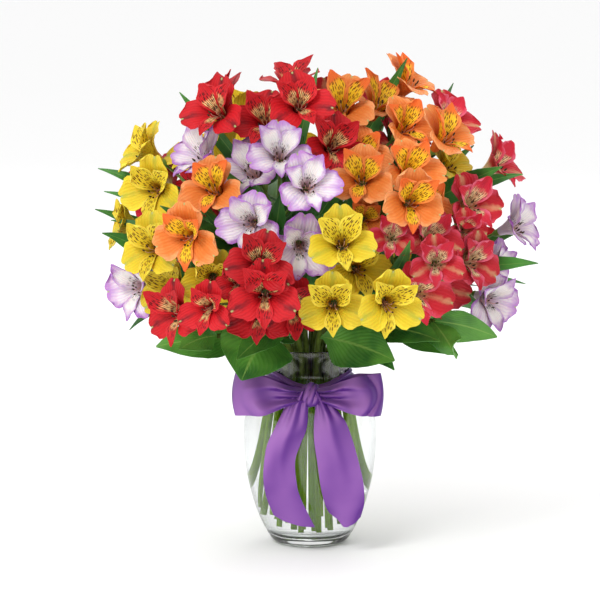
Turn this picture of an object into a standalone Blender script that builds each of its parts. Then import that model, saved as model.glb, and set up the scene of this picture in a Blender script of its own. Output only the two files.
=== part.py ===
"""A vase of mixed alstroemeria: leafy cut stems with their umbels of blooms, standing in water
in a clear glass vase, with a satin ribbon tied in a bow round its neck.

Metres, +Z up. The origin is the centre of the vase's foot, and the front is towards -Y.
Blooms and leaf tips are placed on sight lines: (u, v) is how far right of the vase's axis and
how far above its foot a thing looks, in millimetres, from an eye in front of the vase or behind it.
"""

import math

import bmesh
import bpy
from mathutils import Matrix, Vector
from mathutils.bvhtree import BVHTree

MM = 0.001
FLAT = 0.0005
FRONT, BACK = 1, -1
UP = Vector((0, 0, 1))

# The eye that the sight lines start from
EYE_DISTANCE = 2.4
EYE_HEIGHT = 0.533

# Vase: outer radius at each height, from the foot to the rim
FOOT_RADIUS = 0.030
VASE_HEIGHT = 0.178
VASE_OUTLINE = [
    (0.006, 0.0370),
    (0.030, 0.0485),
    (0.062, 0.0572),
    (0.098, 0.0604),
    (0.122, 0.0575),
    (0.139, 0.0480),
    (0.151, 0.0370),
    (0.159, 0.0352),
    (VASE_HEIGHT, 0.0430),
]
GLASS = 0.0032
GLASS_FLOOR = 0.009
FLOOR_BEVEL = 0.003
RIM_ROUND = 0.0014
VASE_SIDES = 24
NECK_HEIGHT = 0.157

# Water
WATER_LEVEL = 0.130
WATER_GAP = 0.0004
HOLE_GAP = 0.0005

# The dome that the faces of the blooms lie on
DOME_CENTRE = Vector((0, 0, 0.252))
DOME_AXES = Vector((0.176, 0.168, 0.166))
# How a bloom's facing differs from the dome's: it turns towards the viewer and hardly looks down
FACE_TURN = 0.50
FACE_SPREAD = 0.85
FACE_RISE = 0.75
FACE_LIFT = 0.12
FACE_FAN = 5.0
STEEPEST = 0.98

# Bloom
RING_HEIGHT = 0.008
RING_RADIUS = 0.0042
CUP_WALL = 0.0009
CUP_FLOOR = 0.0050
FACE_HEIGHT = 0.034
OUTER_SHARE = math.radians(72)
TEPAL_MIDDLE = 0.0009
OVARY_RADIUS = 0.0017
PEDICEL_RADIUS = 0.0013
# Stations of a tepal: distance from the bloom's axis, height, half width
OUTER_TEPAL = [(0.0210, 0.0290, 0.0138), (0.0310, 0.0330, 0.0)]
INNER_TEPAL = [(0.0155, 0.0305, 0.0074), (0.0245, 0.0410, 0.0)]
# The six tepals in order round the bloom, the topmost one last: stations, the angle from the
# bloom's top that the tip leans to, in degrees, and how far it opens
TEPALS = [
    (INNER_TEPAL, 45, 0.92),
    (OUTER_TEPAL, 118, 1.0),
    (INNER_TEPAL, 180, 1.10),
    (OUTER_TEPAL, 242, 1.0),
    (INNER_TEPAL, 315, 0.92),
    (OUTER_TEPAL, 0, 0.90),
]
TEPAL_CHANNEL = 0.0016
PEDICEL_LEAD, PEDICEL_BEND = 0.45, 0.2

# Umbel and stem
HUB_RADIUS = 0.0050
HUB_DEPTH = 0.036
HUB_GAP = 0.0003
CORE = Vector((0, 0, 0.190))
STEM_FOOT_RADIUS = 0.0029
STEM_TOP_RADIUS = 0.0021
STEM_SIDES = 6
NECK_REACH = 0.0265
NECK_SPACING = 0.0078
NECK_TILT = math.radians(80)
NECK_ROUNDS = 200
FOOT_SPREAD = 1.62
FOOT_LOW, FOOT_RAISE = 0.0125, 0.030
UPPER_STEPS = 4
STEM_LEAD = 0.30
LEAF_MIDDLE = 0.0009
LEAF_CHANNEL = 0.16
# A leaf out at the side still turns its face more to the front or the back than sideways
LEAF_SIDEWAYS = 0.45
RUN_STEP = 0.05
# Stations of a leaf: share of its length, and share of its full half width
LANCE = [(0.38, 1.0), (0.72, 0.78)]
BROAD = [(0.13, 0.42), (0.42, 1.0), (0.76, 0.66)]
BROAD_OVER = 10.5

# What a bloom may try where its place is taken: smaller, and further in or out along its facing
BLOOM_SIZES = [1.0, 0.9, 0.8, 0.7]
BLOOM_STEPS = [0, 8 * MM, -7 * MM, 16 * MM, -13 * MM, 25 * MM, -20 * MM, 34 * MM]
TEST_SWELL = 1.03
# What a stem may try: how far it keeps rising above the neck, and how far it sways to the side
STEM_RISES = [0.42, 0.55, 0.30, 0.70]
STEM_SWAYS = [0, 9 * MM, -9 * MM, 18 * MM, -18 * MM, 28 * MM, -28 * MM]
STEM_MARGIN = 0.0005
# What a leaf may try: its length, its tip's depth, its arch and its turn about its own length
LEAF_SIZES = [1.0, 0.8]
LEAF_DEPTHS = [0, 12 * MM, -12 * MM, 26 * MM, -26 * MM, 42 * MM, -42 * MM]
LEAF_ARCHES = [0, 9 * MM, -9 * MM, 18 * MM, -18 * MM]
LEAF_TURNS = [0, 0.35, -0.35, 0.7, -0.7]

# Ribbon: the knot lies on the slope of the vase's shoulder
RIBBON_WIDTH = 0.038
RIBBON_THICK = 0.0010
RIBBON_GAP = 0.0006
BAND_STATIONS = [(0.1445, 0.0024), (0.152, 0.0046), (0.159, 0.0026)]
KNOT = Vector((0.001, -0.0508, 0.1470))
KNOT_AXES = (0.0086, 0.0064, 0.0130)
KNOT_SLOPE = math.radians(42)
# Bow loops: how far each reaches, how deep its front and back bulge, and how it leaves the knot
LEFT_REACH, RIGHT_REACH = 0.066, 0.060
LOOP_STEPS = 10
LOOP_LEAN = 0.35
LOOP_FRONT, LOOP_BACK = 0.0110, 0.0050
LOOP_ROOT, LOOP_ROOT_HALF = 0.004, 0.006
LOOP_WIDENING = 1.35
LOOP_FORWARD, LOOP_DROP = 0.002, 0.004
LOOP_BULGE, TAIL_BULGE = 0.0012, 0.0016
# Stations of a tail: place, half width, and how far its right edge is turned up, in degrees
LEFT_TAIL = [
    ((-0.002, -0.0570, 0.140), 0.0050, 0),
    ((-0.012, -0.0625, 0.126), 0.0125, -9),
    ((-0.022, -0.0650, 0.100), 0.0175, -7),
    ((-0.0265, -0.0645, 0.070), 0.0185, 0),
    ((-0.0220, -0.0625, 0.042), 0.0185, 12),
    ((-0.0130, -0.0600, 0.026), 0.0150, 24),
]
RIGHT_TAIL = [
    ((0.004, -0.0570, 0.140), 0.0050, 0),
    ((0.015, -0.0625, 0.126), 0.0125, 7),
    ((0.0225, -0.0650, 0.100), 0.0180, 7),
    ((0.0290, -0.0645, 0.070), 0.0190, 6),
    ((0.0340, -0.0625, 0.044), 0.0185, 1),
    ((0.0365, -0.0600, 0.028), 0.0140, -6),
]

# Finishes: colour, and roughness where it isn't that of a petal or a leaf
COLOURS = {
    "red": (0.80, 0.03, 0.05),
    "lilac": (0.78, 0.62, 0.88),
    "yellow": (0.95, 0.78, 0.08),
    "orange": (0.93, 0.38, 0.08),
    "cherry": (0.83, 0.12, 0.20),
    "leaf": (0.13, 0.30, 0.07),
    "glass": (0.90, 0.95, 0.94),
    "water": (0.93, 0.97, 0.97),
    "satin": (0.30, 0.12, 0.55),
}
ROUGHNESS = {"glass": 0.03, "water": 0.02, "satin": 0.35}
PETAL_ROUGHNESS = 0.5
CLEAR = ("glass", "water")

# Umbels: name, colour, the side seen, and the (u, v) of each bloom's face
UMBELS = [
    (
        "red_top",
        "red",
        FRONT,
        [(-84, 407), (-50, 412), (-13, 418), (-42, 388), (-8, 386), (24, 369), (-78, 380)],
    ),
    (
        "lilac_centre",
        "lilac",
        FRONT,
        [(-107, 362), (-63, 362), (-27, 354), (1, 323), (-53, 290), (-8, 271)],
    ),
    ("yellow_high", "yellow", FRONT, [(-146, 328), (-152, 360), (-127, 384)]),
    ("orange_left", "orange", FRONT, [(-88, 326), (-70, 300), (-112, 281)]),
    ("yellow_left", "yellow", FRONT, [(-147, 270), (-101, 241), (-146, 226), (-173, 292)]),
    ("lilac_left", "lilac", FRONT, [(-182, 260), (-170, 233)]),
    (
        "red_low",
        "red",
        FRONT,
        [(-117, 211), (-85, 219), (-69, 238), (-36, 230), (-51, 206), (-16, 211), (-40, 256)],
    ),
    ("yellow_centre", "yellow", FRONT, [(28, 272), (56, 252), (20, 214), (66, 222)]),
    ("orange_top", "orange", FRONT, [(60, 406), (28, 404), (84, 412), (90, 382), (56, 372)]),
    (
        "orange_right",
        "orange",
        FRONT,
        [(46, 334), (92, 343), (114, 360), (56, 305), (87, 307), (122, 318)],
    ),
    (
        "cherry_right",
        "cherry",
        FRONT,
        [(79, 282), (115, 284), (107, 254), (146, 258), (105, 223), (146, 228)],
    ),
    ("cherry_top", "cherry", FRONT, [(101, 401), (128, 390)]),
    ("yellow_right", "yellow", FRONT, [(148, 364)]),
    ("cherry_side", "cherry", FRONT, [(162, 344), (150, 310), (150, 287)]),
    ("lilac_right", "lilac", FRONT, [(172, 320), (180, 288), (178, 249), (166, 220)]),
    ("cherry_back", "cherry", BACK, [(-14, 396), (-66, 398), (-42, 350)]),
    ("yellow_back", "yellow", BACK, [(64, 384), (102, 362), (18, 356), (66, 336)]),
    ("lilac_back", "lilac", BACK, [(-4, 312), (-44, 290), (28, 268)]),
    ("red_back", "red", BACK, [(70, 286), (112, 306), (112, 262)]),
    ("orange_back", "orange", BACK, [(-92, 326), (-108, 368), (-134, 306), (-96, 276)]),
    ("yellow_low_back", "yellow", BACK, [(-66, 236), (-110, 226), (-32, 208)]),
    ("orange_low_back", "orange", BACK, [(12, 226), (62, 204), (66, 240)]),
    ("red_far", "red", BACK, [(-154, 262), (-148, 220)]),
    ("cherry_far", "cherry", BACK, [(150, 272), (146, 324), (128, 214)]),
]

# Sprays of broad leaves: name, the side seen, the (u, v) of the stem's top, and its depth
SPRAYS = [
    ("spray_left", FRONT, (-84, 188), -72),
    ("spray_front", FRONT, (-42, 196), -62),
    ("spray_right", FRONT, (112, 202), -70),
    ("spray_back_left", BACK, (-92, 188), -72),
    ("spray_back_right", BACK, (96, 190), -72),
]

# Leaves: the stem they grow from, share of the way up it from the neck, the side seen, tip (u, v),
# the tip's depth, half width, how high the leaf arches, and how far it tips from facing up
# towards facing outwards, in degrees
LEAVES = [
    ("spray_front", 0.90, FRONT, (-62, 148), -94, 31, 3, 85),
    ("yellow_centre", 0.32, FRONT, (76, 166), -102, 22, 6, 85),
    ("red_low", 0.60, FRONT, (-66, 167), -118, 13, 6, 85),
    ("spray_left", 0.62, FRONT, (-139, 179), -70, 18, 4, 80),
    ("spray_left", 0.98, FRONT, (-118, 176), -92, 13, 6, 80),
    ("spray_right", 0.45, FRONT, (117, 184), -106, 15, 8, 80),
    ("spray_right", 0.26, FRONT, (76, 158), -84, 10, 10, 70),
    ("spray_right", 0.62, FRONT, (134, 171), -84, 14, 2, 80),
    ("spray_right", 0.98, FRONT, (133, 168), -112, 13, 6, 85),
    ("spray_right", 0.93, FRONT, (169, 187), -74, 16, 8, 80),
    ("spray_back_left", 0.34, BACK, (-58, 150), -98, 25, 14, 80),
    ("spray_back_left", 0.98, BACK, (-142, 184), -60, 16, 8, 70),
    ("spray_back_left", 0.60, BACK, (-104, 164), -96, 13, 12, 70),
    ("spray_back_right", 0.24, BACK, (20, 152), -110, 17, 18, 80),
    ("spray_back_right", 0.46, BACK, (74, 150), -92, 23, 14, 80),
    ("spray_back_right", 0.98, BACK, (144, 182), -60, 16, 8, 70),
    ("lilac_right", 0.88, FRONT, (175, 203), -5, 6, 16, 40),
    ("yellow_left", 0.80, FRONT, (-164, 194), -30, 6, 30, 50),
    ("yellow_high", 0.90, FRONT, (-190, 341), 5, 6, 6, 30),
    ("yellow_high", 0.84, FRONT, (-185, 320), 10, 5, 4, 30),
    ("yellow_left", 0.92, FRONT, (-203, 309), 0, 7, 8, 40),
    ("lilac_left", 0.92, FRONT, (-186, 282), -45, 8, 8, 50),
    ("lilac_left", 0.84, FRONT, (-162, 218), -70, 5, 14, 50),
    ("cherry_back", 0.92, FRONT, (86, 438), 30, 7, 0, 60),
    ("cherry_top", 0.88, FRONT, (128, 416), 20, 6, 0, 60),
    ("yellow_right", 0.92, FRONT, (170, 341), -70, 9, 4, 60),
    ("yellow_right", 0.86, FRONT, (190, 335), -20, 6, 6, 30),
    ("lilac_right", 0.94, FRONT, (205, 255), -20, 8, 6, 40),
    ("lilac_right", 0.90, FRONT, (194, 237), -10, 5, 6, 40),
    ("cherry_right", 0.92, FRONT, (90, 273), -150, 6, 3, 60),
    ("cherry_right", 0.78, FRONT, (62, 234), -130, 8, 3, 60),
    ("orange_left", 0.92, FRONT, (-134, 306), -110, 7, 0, 60),
    ("orange_left", 0.86, FRONT, (-60, 270), -140, 8, 0, 60),
    ("lilac_centre", 0.88, FRONT, (-78, 340), -130, 7, 0, 60),
    ("lilac_centre", 0.84, FRONT, (20, 300), -150, 7, 0, 60),
    ("red_top", 0.92, FRONT, (7, 430), 0, 5, 0, 60),
    ("orange_right", 0.88, FRONT, (18, 300), -140, 8, 0, 60),
    ("yellow_centre", 0.80, FRONT, (0, 236), -140, 8, 0, 60),
    ("red_far", 0.92, BACK, (-196, 282), -20, 7, 8, 40),
    ("red_far", 0.86, BACK, (-176, 196), -40, 8, 12, 50),
    ("orange_back", 0.90, BACK, (-154, 352), -60, 7, 6, 50),
    ("cherry_back", 0.86, BACK, (-74, 364), -140, 8, 0, 60),
    ("yellow_back", 0.90, BACK, (120, 404), -40, 7, 4, 60),
    ("yellow_back", 0.84, BACK, (32, 320), -150, 8, 0, 60),
    ("cherry_far", 0.92, BACK, (196, 300), -20, 7, 8, 40),
    ("cherry_far", 0.84, BACK, (184, 236), -20, 7, 8, 50),
    ("lilac_back", 0.88, BACK, (-8, 250), -160, 8, 0, 60),
    ("red_back", 0.88, BACK, (96, 232), -140, 8, 4, 60),
    ("orange_low_back", 0.80, BACK, (36, 190), -130, 9, 6, 60),
    ("red_low", 0.78, FRONT, (-20, 240), -118, 10, 6, 60),
    ("lilac_centre", 0.70, FRONT, (30, 330), -120, 10, 6, 60),
    ("yellow_left", 0.66, FRONT, (-92, 262), -112, 10, 6, 60),
    ("orange_left", 0.70, FRONT, (-26, 318), -112, 10, 6, 60),
    ("orange_top", 0.72, FRONT, (64, 348), -96, 10, 6, 60),
    ("cherry_side", 0.80, FRONT, (112, 302), -92, 10, 6, 60),
    ("red_top", 0.76, FRONT, (2, 368), -70, 10, 6, 60),
    ("cherry_right", 0.60, FRONT, (84, 246), -104, 10, 6, 60),
    ("lilac_back", 0.70, BACK, (2, 340), -112, 10, 6, 60),
    ("yellow_low_back", 0.72, BACK, (-60, 270), -104, 10, 6, 60),
    ("red_back", 0.70, BACK, (44, 300), -104, 10, 6, 60),
    ("orange_low_back", 0.66, BACK, (6, 252), -118, 10, 6, 60),
]


def material(name):
    """One plain finish for each colour, made once."""
    found = bpy.data.materials.get(name)
    if found:
        return found
    made = bpy.data.materials.new(name)
    made.use_nodes = True
    shader = made.node_tree.nodes["Principled BSDF"]
    shader.inputs["Base Color"].default_value = (*COLOURS[name], 1)
    shader.inputs["Metallic"].default_value = 0.0
    shader.inputs["Roughness"].default_value = ROUGHNESS.get(name, PETAL_ROUGHNESS)
    shader.inputs["Transmission Weight"].default_value = 1.0 if name in CLEAR else 0.0
    return made


def new_object(name, mesh, collection, finish=None):
    """An object with this mesh, linked into the collection."""
    made = bpy.data.objects.new(name, mesh)
    collection.objects.link(made)
    if finish:
        made.data.materials.clear()
        made.data.materials.append(material(finish))
    return made


def mesh_of(bm, name):
    """The bmesh as a mesh with its faces pointing out."""
    bmesh.ops.recalc_face_normals(bm, faces=bm.faces)
    if bm.calc_volume(signed=True) < 0:
        bmesh.ops.reverse_faces(bm, faces=bm.faces)
    made = bpy.data.meshes.new(name)
    bm.to_mesh(made)
    bm.free()
    return made


def settled(obj):
    """The object's evaluated mesh, with its modifiers applied."""
    bpy.context.view_layer.update()
    return bpy.data.meshes.new_from_object(obj.evaluated_get(bpy.context.evaluated_depsgraph_get()))


def merge_flat(mesh):
    """Takes out the edges that a Boolean leaves across flat faces."""
    bm = bmesh.new()
    bm.from_mesh(mesh)
    bmesh.ops.dissolve_limit(bm, angle_limit=FLAT, verts=bm.verts, edges=bm.edges)
    bmesh.ops.triangulate(bm, faces=bm.faces)
    bm.to_mesh(mesh)
    bm.free()


def fuse(body, pieces):
    """Joins the pieces into the body by one union, and removes them."""
    if not pieces:
        return
    holder = bpy.data.collections.new("pieces")
    bpy.context.scene.collection.children.link(holder)
    for piece in pieces:
        for owner in list(piece.users_collection):
            owner.objects.unlink(piece)
        holder.objects.link(piece)
    union = body.modifiers.new("join", "BOOLEAN")
    union.operation = "UNION"
    union.operand_type = "COLLECTION"
    union.collection = holder
    union.solver = "MANIFOLD"
    joined = settled(body)
    body.modifiers.remove(union)
    merge_flat(joined)
    body.data = joined
    for piece in pieces:
        bpy.data.objects.remove(piece)
    bpy.data.collections.remove(holder)


def bezier(points, t):
    """A point on the Bezier curve of these control points."""
    while len(points) > 1:
        points = [a.lerp(b, t) for a, b in zip(points, points[1:])]
    return points[0]


def tube(points, radii, sides, collection, finish=None, name="tube"):
    """A closed round bar along the points, made from a bevelled curve."""
    curve = bpy.data.curves.new(name, "CURVE")
    curve.dimensions = "3D"
    curve.bevel_depth = 1.0
    curve.bevel_resolution = (sides - 4) // 2
    curve.use_fill_caps = True
    spline = curve.splines.new("POLY")
    spline.points.add(len(points) - 1)
    for place, point, radius in zip(spline.points, points, radii):
        place.co = (*point, 1)
        place.radius = radius
    holder = bpy.data.objects.new(name, curve)
    collection.objects.link(holder)
    made = settled(holder)
    bpy.data.objects.remove(holder)
    bm = bmesh.new()
    bm.from_mesh(made)
    bmesh.ops.remove_doubles(bm, verts=bm.verts, dist=1e-6)
    bmesh.ops.triangulate(bm, faces=bm.faces)
    return new_object(name, mesh_of(bm, name), collection, finish)


def turned(name, profile, collection, finish):
    """A solid turned about the vertical axis from (radius, height) points, outer side downwards.
    A profile that doesn't start on the axis is closed into a ring."""
    bm = bmesh.new()
    places = [bm.verts.new((radius, 0, height)) for radius, height in profile]
    if profile[0][0]:
        places.append(places[0])
    for a, b in zip(places, places[1:]):
        bm.edges.new((a, b))
    made = bpy.data.meshes.new(name)
    bm.to_mesh(made)
    bm.free()
    solid = new_object(name, made, collection, finish)
    screw = solid.modifiers.new("turn", "SCREW")
    screw.steps = screw.render_steps = VASE_SIDES
    screw.use_merge_vertices = True
    screw.merge_threshold = 1e-5
    return solid


def sight_point(u, v, depth, side):
    """The point on the sight line through (u, v) that lies at this depth, all in metres."""
    eye = Vector((0, -EYE_DISTANCE, EYE_HEIGHT))
    through = Vector((u, 0, v))
    point = eye + (through - eye) * ((depth + EYE_DISTANCE) / EYE_DISTANCE)
    return Vector((point.x * side, point.y * side, point.z))


def dome_point(u, v, side):
    """Where the sight line through (u, v) first meets the dome, or passes closest to it."""
    scale = Vector(1 / a for a in DOME_AXES)
    start = (sight_point(u, v, -1.0, FRONT) - DOME_CENTRE) * scale
    way = (sight_point(u, v, 1.0, FRONT) - DOME_CENTRE) * scale - start
    a, b, c = way.dot(way), 2 * start.dot(way), start.dot(start) - 1
    inside = b * b - 4 * a * c
    t = (-b - math.sqrt(inside)) / (2 * a) if inside > 0 else -b / (2 * a)
    point = (start + way * t) * DOME_AXES + DOME_CENTRE
    return Vector((point.x * side, point.y * side, point.z))


def dome_normal(point):
    """The outward direction of the dome at a point on it."""
    out = point - DOME_CENTRE
    return Vector(o / (a * a) for o, a in zip(out, DOME_AXES)).normalized()


def bloom_frame(face, axis, size):
    """The matrix of a bloom: +Z faces out, +Y is the bloom's top, and the origin is its ovary."""
    side = UP.cross(axis).normalized() if abs(axis.z) < STEEPEST else Vector((1, 0, 0))
    top = axis.cross(side)
    turn = Matrix((side, top, axis)).transposed().to_4x4()
    place = Matrix.Translation(face - axis * FACE_HEIGHT * size)
    return place @ turn @ Matrix.Scale(size, 4)


def choices(u, v, side, middle):
    """The matrices that a bloom may take, best first. Middle is the middle of its umbel's faces."""
    face = dome_point(u * MM, v * MM, side)
    normal = dome_normal(face)
    rise = max(normal.z, 0) * FACE_RISE + FACE_LIFT
    axis = Vector((normal.x * FACE_SPREAD, normal.y - side * FACE_TURN, rise))
    axis = (axis.normalized() + (face - middle) * FACE_FAN).normalized()
    found = []
    for size in BLOOM_SIZES:
        found += [bloom_frame(face - normal * step, axis, size) for step in BLOOM_STEPS]
    return found


def tepal_rows(stations, lean, opening):
    """Left, middle and right points of each station of a tepal, and its tip."""
    lean = math.radians(lean)
    along = Vector((-math.sin(lean), math.cos(lean), 0))
    across = Vector((math.cos(lean), math.sin(lean), 0))
    rows = []
    for radius, height, half in stations:
        middle = along * radius * opening + UP * height
        edge = UP * TEPAL_CHANNEL * half / OUTER_TEPAL[0][2]
        rows.append((middle - across * half + edge, middle - edge, middle + across * half + edge))
    return rows[:-1], rows[-1][1]


def blade(bm, start_top, start_under, rows, tip, middle):
    """A blade with a ridge on both faces and thin edges, from its start to its tip. The start is
    two corners on each face, or one shared point. It is built face by face, because a blade this
    thin would cost twice the faces as a thickened grid."""
    left = right = top_mid = under_mid = None
    tip = bm.verts.new(tip)
    for number, (l_point, m_point, r_point) in enumerate(rows):
        new_left, new_right = bm.verts.new(l_point), bm.verts.new(r_point)
        new_top = bm.verts.new(m_point)
        run = (rows[number + 1][1] if number + 1 < len(rows) else tip.co) - m_point
        under = run.cross(r_point - l_point).normalized() * middle
        new_under = bm.verts.new(m_point + under)
        if number == 0:
            for start, mid in ((start_top, new_top), (start_under, new_under)):
                bm.faces.new((start[0], new_left, mid))
                bm.faces.new((start[-1], mid, new_right))
                if len(start) > 1:
                    bm.faces.new((start[0], mid, start[1]))
            if len(start_top) > 1:
                bm.faces.new((start_top[0], start_under[0], new_left))
                bm.faces.new((start_top[1], new_right, start_under[1]))
        else:
            for old_mid, mid in ((top_mid, new_top), (under_mid, new_under)):
                bm.faces.new((left, old_mid, mid))
                bm.faces.new((left, mid, new_left))
                bm.faces.new((right, mid, old_mid))
                bm.faces.new((right, new_right, mid))
        left, right, top_mid, under_mid = new_left, new_right, new_top, new_under
    for mid in (top_mid, under_mid):
        bm.faces.new((left, mid, tip))
        bm.faces.new((right, tip, mid))


def corner_angles():
    """Where the tepals' roots meet round the cup, in radians from the bloom's top."""
    inner_share = math.radians(120) - OUTER_SHARE
    angles = []
    for number in range(3):
        centre = math.radians(120) * number
        angles += [centre + OUTER_SHARE / 2, centre + OUTER_SHARE / 2 + inner_share]
    return angles


def ring(bm, radius, height, angles):
    """New points round the bloom's axis, at these angles from its top."""
    return [bm.verts.new((-math.sin(a) * radius, math.cos(a) * radius, height)) for a in angles]


def perianth(bm):
    """The six tepals on their cup, in the bloom's own frame. Returns the three points of the
    ovary's lower end, which the pedicel grows from."""
    angles = corner_angles()
    outside = ring(bm, RING_RADIUS, RING_HEIGHT, angles)
    inside = ring(bm, RING_RADIUS - CUP_WALL, RING_HEIGHT + CUP_WALL, angles)
    floor = bm.verts.new((0, 0, CUP_FLOOR))
    for number, (stations, lean, opening) in enumerate(TEPALS):
        following = (number + 1) % 6
        bm.faces.new((inside[number], inside[following], floor))
        rows, tip = tepal_rows(stations, lean, opening)
        blade(
            bm,
            [inside[following], inside[number]],
            [outside[following], outside[number]],
            rows,
            tip,
            TEPAL_MIDDLE,
        )
    lower = ring(bm, OVARY_RADIUS, 0, [angles[0], angles[2], angles[4]])
    for number in range(3):
        a, b, c = outside[2 * number], outside[2 * number + 1], outside[(2 * number + 2) % 6]
        low, next_low = lower[number], lower[(number + 1) % 3]
        bm.faces.new((low, a, b))
        bm.faces.new((low, b, next_low))
        bm.faces.new((next_low, b, c))
    return lower


def pedicel_path(matrix, hub):
    """Points from a bloom's ovary down to the hub of its umbel."""
    base = matrix.to_translation()
    axis = (matrix.to_3x3() @ UP).normalized()
    reach = (base - hub).length
    controls = [base, base - axis * reach * PEDICEL_LEAD, hub.lerp(base, PEDICEL_BEND), hub]
    return [bezier(controls, t) for t in (0.0, 0.5, 1.0)]


def bloom_mesh(matrix, hub):
    """A bloom with its pedicel, as one closed mesh."""
    bm = bmesh.new()
    lower = perianth(bm)
    bmesh.ops.transform(bm, matrix=matrix, verts=bm.verts)
    path = pedicel_path(matrix, hub)
    spokes = [(v.co - path[0]).normalized() for v in lower]
    last = lower
    for before, point in zip(path, path[1:]):
        way = (point - before).normalized()
        spokes = [(s - way * s.dot(way)).normalized() for s in spokes]
        new = [bm.verts.new(point + s * PEDICEL_RADIUS) for s in spokes]
        for number in range(3):
            following = (number + 1) % 3
            bm.faces.new((last[number], last[following], new[following]))
            bm.faces.new((last[number], new[following], new[number]))
        last = new
    bm.faces.new(last)
    return mesh_of(bm, "bloom")


def tree_of(mesh, swell=1.0):
    """A search tree of the mesh, swollen about its middle to keep a gap."""
    points = [v.co.copy() for v in mesh.vertices]
    middle = sum(points, Vector()) / len(points)
    points = [middle + (p - middle) * swell for p in points]
    return BVHTree.FromPolygons(points, [tuple(p.vertices) for p in mesh.polygons])


def mean(points):
    points = list(points)
    return sum(points, Vector()) / len(points)


def face_middle(umbel):
    """The middle of an umbel's faces."""
    _, _, side, places = umbel
    return mean(dome_point(u * MM, v * MM, side) for u, v in places)


def hub_of(umbel):
    """Where the pedicels of an umbel meet: behind the middle of its blooms."""
    _, _, side, places = umbel
    middle = face_middle(umbel)
    bases = mean(choices(u, v, side, middle)[0].to_translation() for u, v in places)
    return bases + (CORE - bases).normalized() * HUB_DEPTH


def neck_places(hubs):
    """Where each stem passes the vase's neck: towards its hub, then eased apart."""
    places = []
    for hub in hubs:
        out = hub - CORE
        flat = Vector((out.x, out.y, 0))
        angle = math.atan2(flat.length, out.z)
        places.append(flat.normalized() * NECK_REACH * min(1.0, angle / NECK_TILT))
    for _ in range(NECK_ROUNDS):
        for a in range(len(places)):
            for b in range(a):
                apart = places[a] - places[b]
                short = NECK_SPACING - apart.length
                if short > 0:
                    push = apart.normalized() * short * 0.5
                    places[a] += push
                    places[b] -= push
        places = [p.normalized() * min(p.length, NECK_REACH) for p in places]
    return places


def stem_path(neck, top, lead, rise, sway):
    """Points from a stem's cut foot in the vase, through the neck, up to its top. The outer stems
    lean on the glass, so their feet stand higher."""
    share = neck.length / NECK_REACH
    foot = neck * FOOT_SPREAD + UP * (FOOT_LOW + FOOT_RAISE * share * share)
    waist = neck + UP * NECK_HEIGHT
    reach = (top - waist).length
    up = ((waist - foot).normalized() + UP).normalized()
    aside = lead.cross(UP).normalized() * sway
    controls = [waist, waist + up * reach * rise + aside, top - lead * reach * STEM_LEAD + aside, top]
    upper = [bezier(controls, step / UPPER_STEPS) for step in range(1, UPPER_STEPS + 1)]
    return [foot, waist, *upper]


def stem_radii(count, extra=0.0):
    """Radii evenly tapered from a stem's foot to its top."""
    taper = STEM_TOP_RADIUS - STEM_FOOT_RADIUS
    return [STEM_FOOT_RADIUS + taper * number / (count - 1) + extra for number in range(count)]


def above_neck(path, share):
    """The point at this share of the stem's length above the neck."""
    path = path[1:]
    lengths = [(b - a).length for a, b in zip(path, path[1:])]
    left = share * sum(lengths)
    for a, b, length in zip(path, path[1:], lengths):
        if left <= length:
            return a.lerp(b, left / length)
        left -= length
    return path[-1]


def leaf_mesh(root, tip, half, arch, tilt, shape):
    """A leaf from its root in the stem to its tip, arched upwards between. Its upper face looks
    up where the tilt is nothing, and outwards where it is a quarter turn."""
    controls = [root, root.lerp(tip, 0.5) + UP * arch, tip]
    outward = Vector((tip.x * LEAF_SIDEWAYS, tip.y, 0)).normalized()
    facing = UP * math.cos(tilt) + outward * math.sin(tilt)
    rows = []
    for place, share in shape:
        point = bezier(controls, place)
        run = (bezier(controls, place + RUN_STEP) - bezier(controls, place - RUN_STEP)).normalized()
        across = run.cross(facing).normalized()
        edge = across.cross(run) * half * LEAF_CHANNEL * share
        across = across * half * share
        rows.append((point - across + edge, point - edge, point + across + edge))
    bm = bmesh.new()
    start = bm.verts.new(root)
    blade(bm, [start], [start], rows, tip, LEAF_MIDDLE)
    return mesh_of(bm, "leaf")


def leaf_choices(path, leaf):
    """The meshes that a leaf may take, best first."""
    name, share, side, (u, v), depth, half, arch, tilt = leaf
    shape = BROAD if half > BROAD_OVER else LANCE
    root = above_neck(path, share)
    for size in LEAF_SIZES:
        for deeper in LEAF_DEPTHS:
            tip = root.lerp(sight_point(u * MM, v * MM, depth * MM + deeper, side), size)
            for higher in LEAF_ARCHES:
                for turn in LEAF_TURNS:
                    tilted = math.radians(tilt) + turn
                    yield leaf_mesh(root, tip, half * MM * size, arch * MM + higher, tilted, shape)


def vase_radius(height):
    """The vase's outer radius at a height, read straight between the stations of its outline."""
    stations = [(0, FOOT_RADIUS), *VASE_OUTLINE]
    for (low, r_low), (high, r_high) in zip(stations, stations[1:]):
        if height <= high:
            return r_low + (r_high - r_low) * (height - low) / (high - low)
    return VASE_OUTLINE[-1][1]


def make_vase(collection):
    """The glass vase: a thick floor, a full belly, a narrow neck and a flared rim."""
    outer = [(radius, height) for height, radius in VASE_OUTLINE]
    inner = [(radius - GLASS, height) for height, radius in VASE_OUTLINE[1:]]
    floor = (vase_radius(GLASS_FLOOR) - GLASS - FLOOR_BEVEL, GLASS_FLOOR)
    rim = (outer[-1][0] - GLASS / 2, VASE_HEIGHT + RIM_ROUND)
    profile = [(0, GLASS_FLOOR), floor, *inner, rim, *reversed(outer), (FOOT_RADIUS, 0), (0, 0)]
    return turned("glass_vase", profile, collection, "glass")


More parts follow.
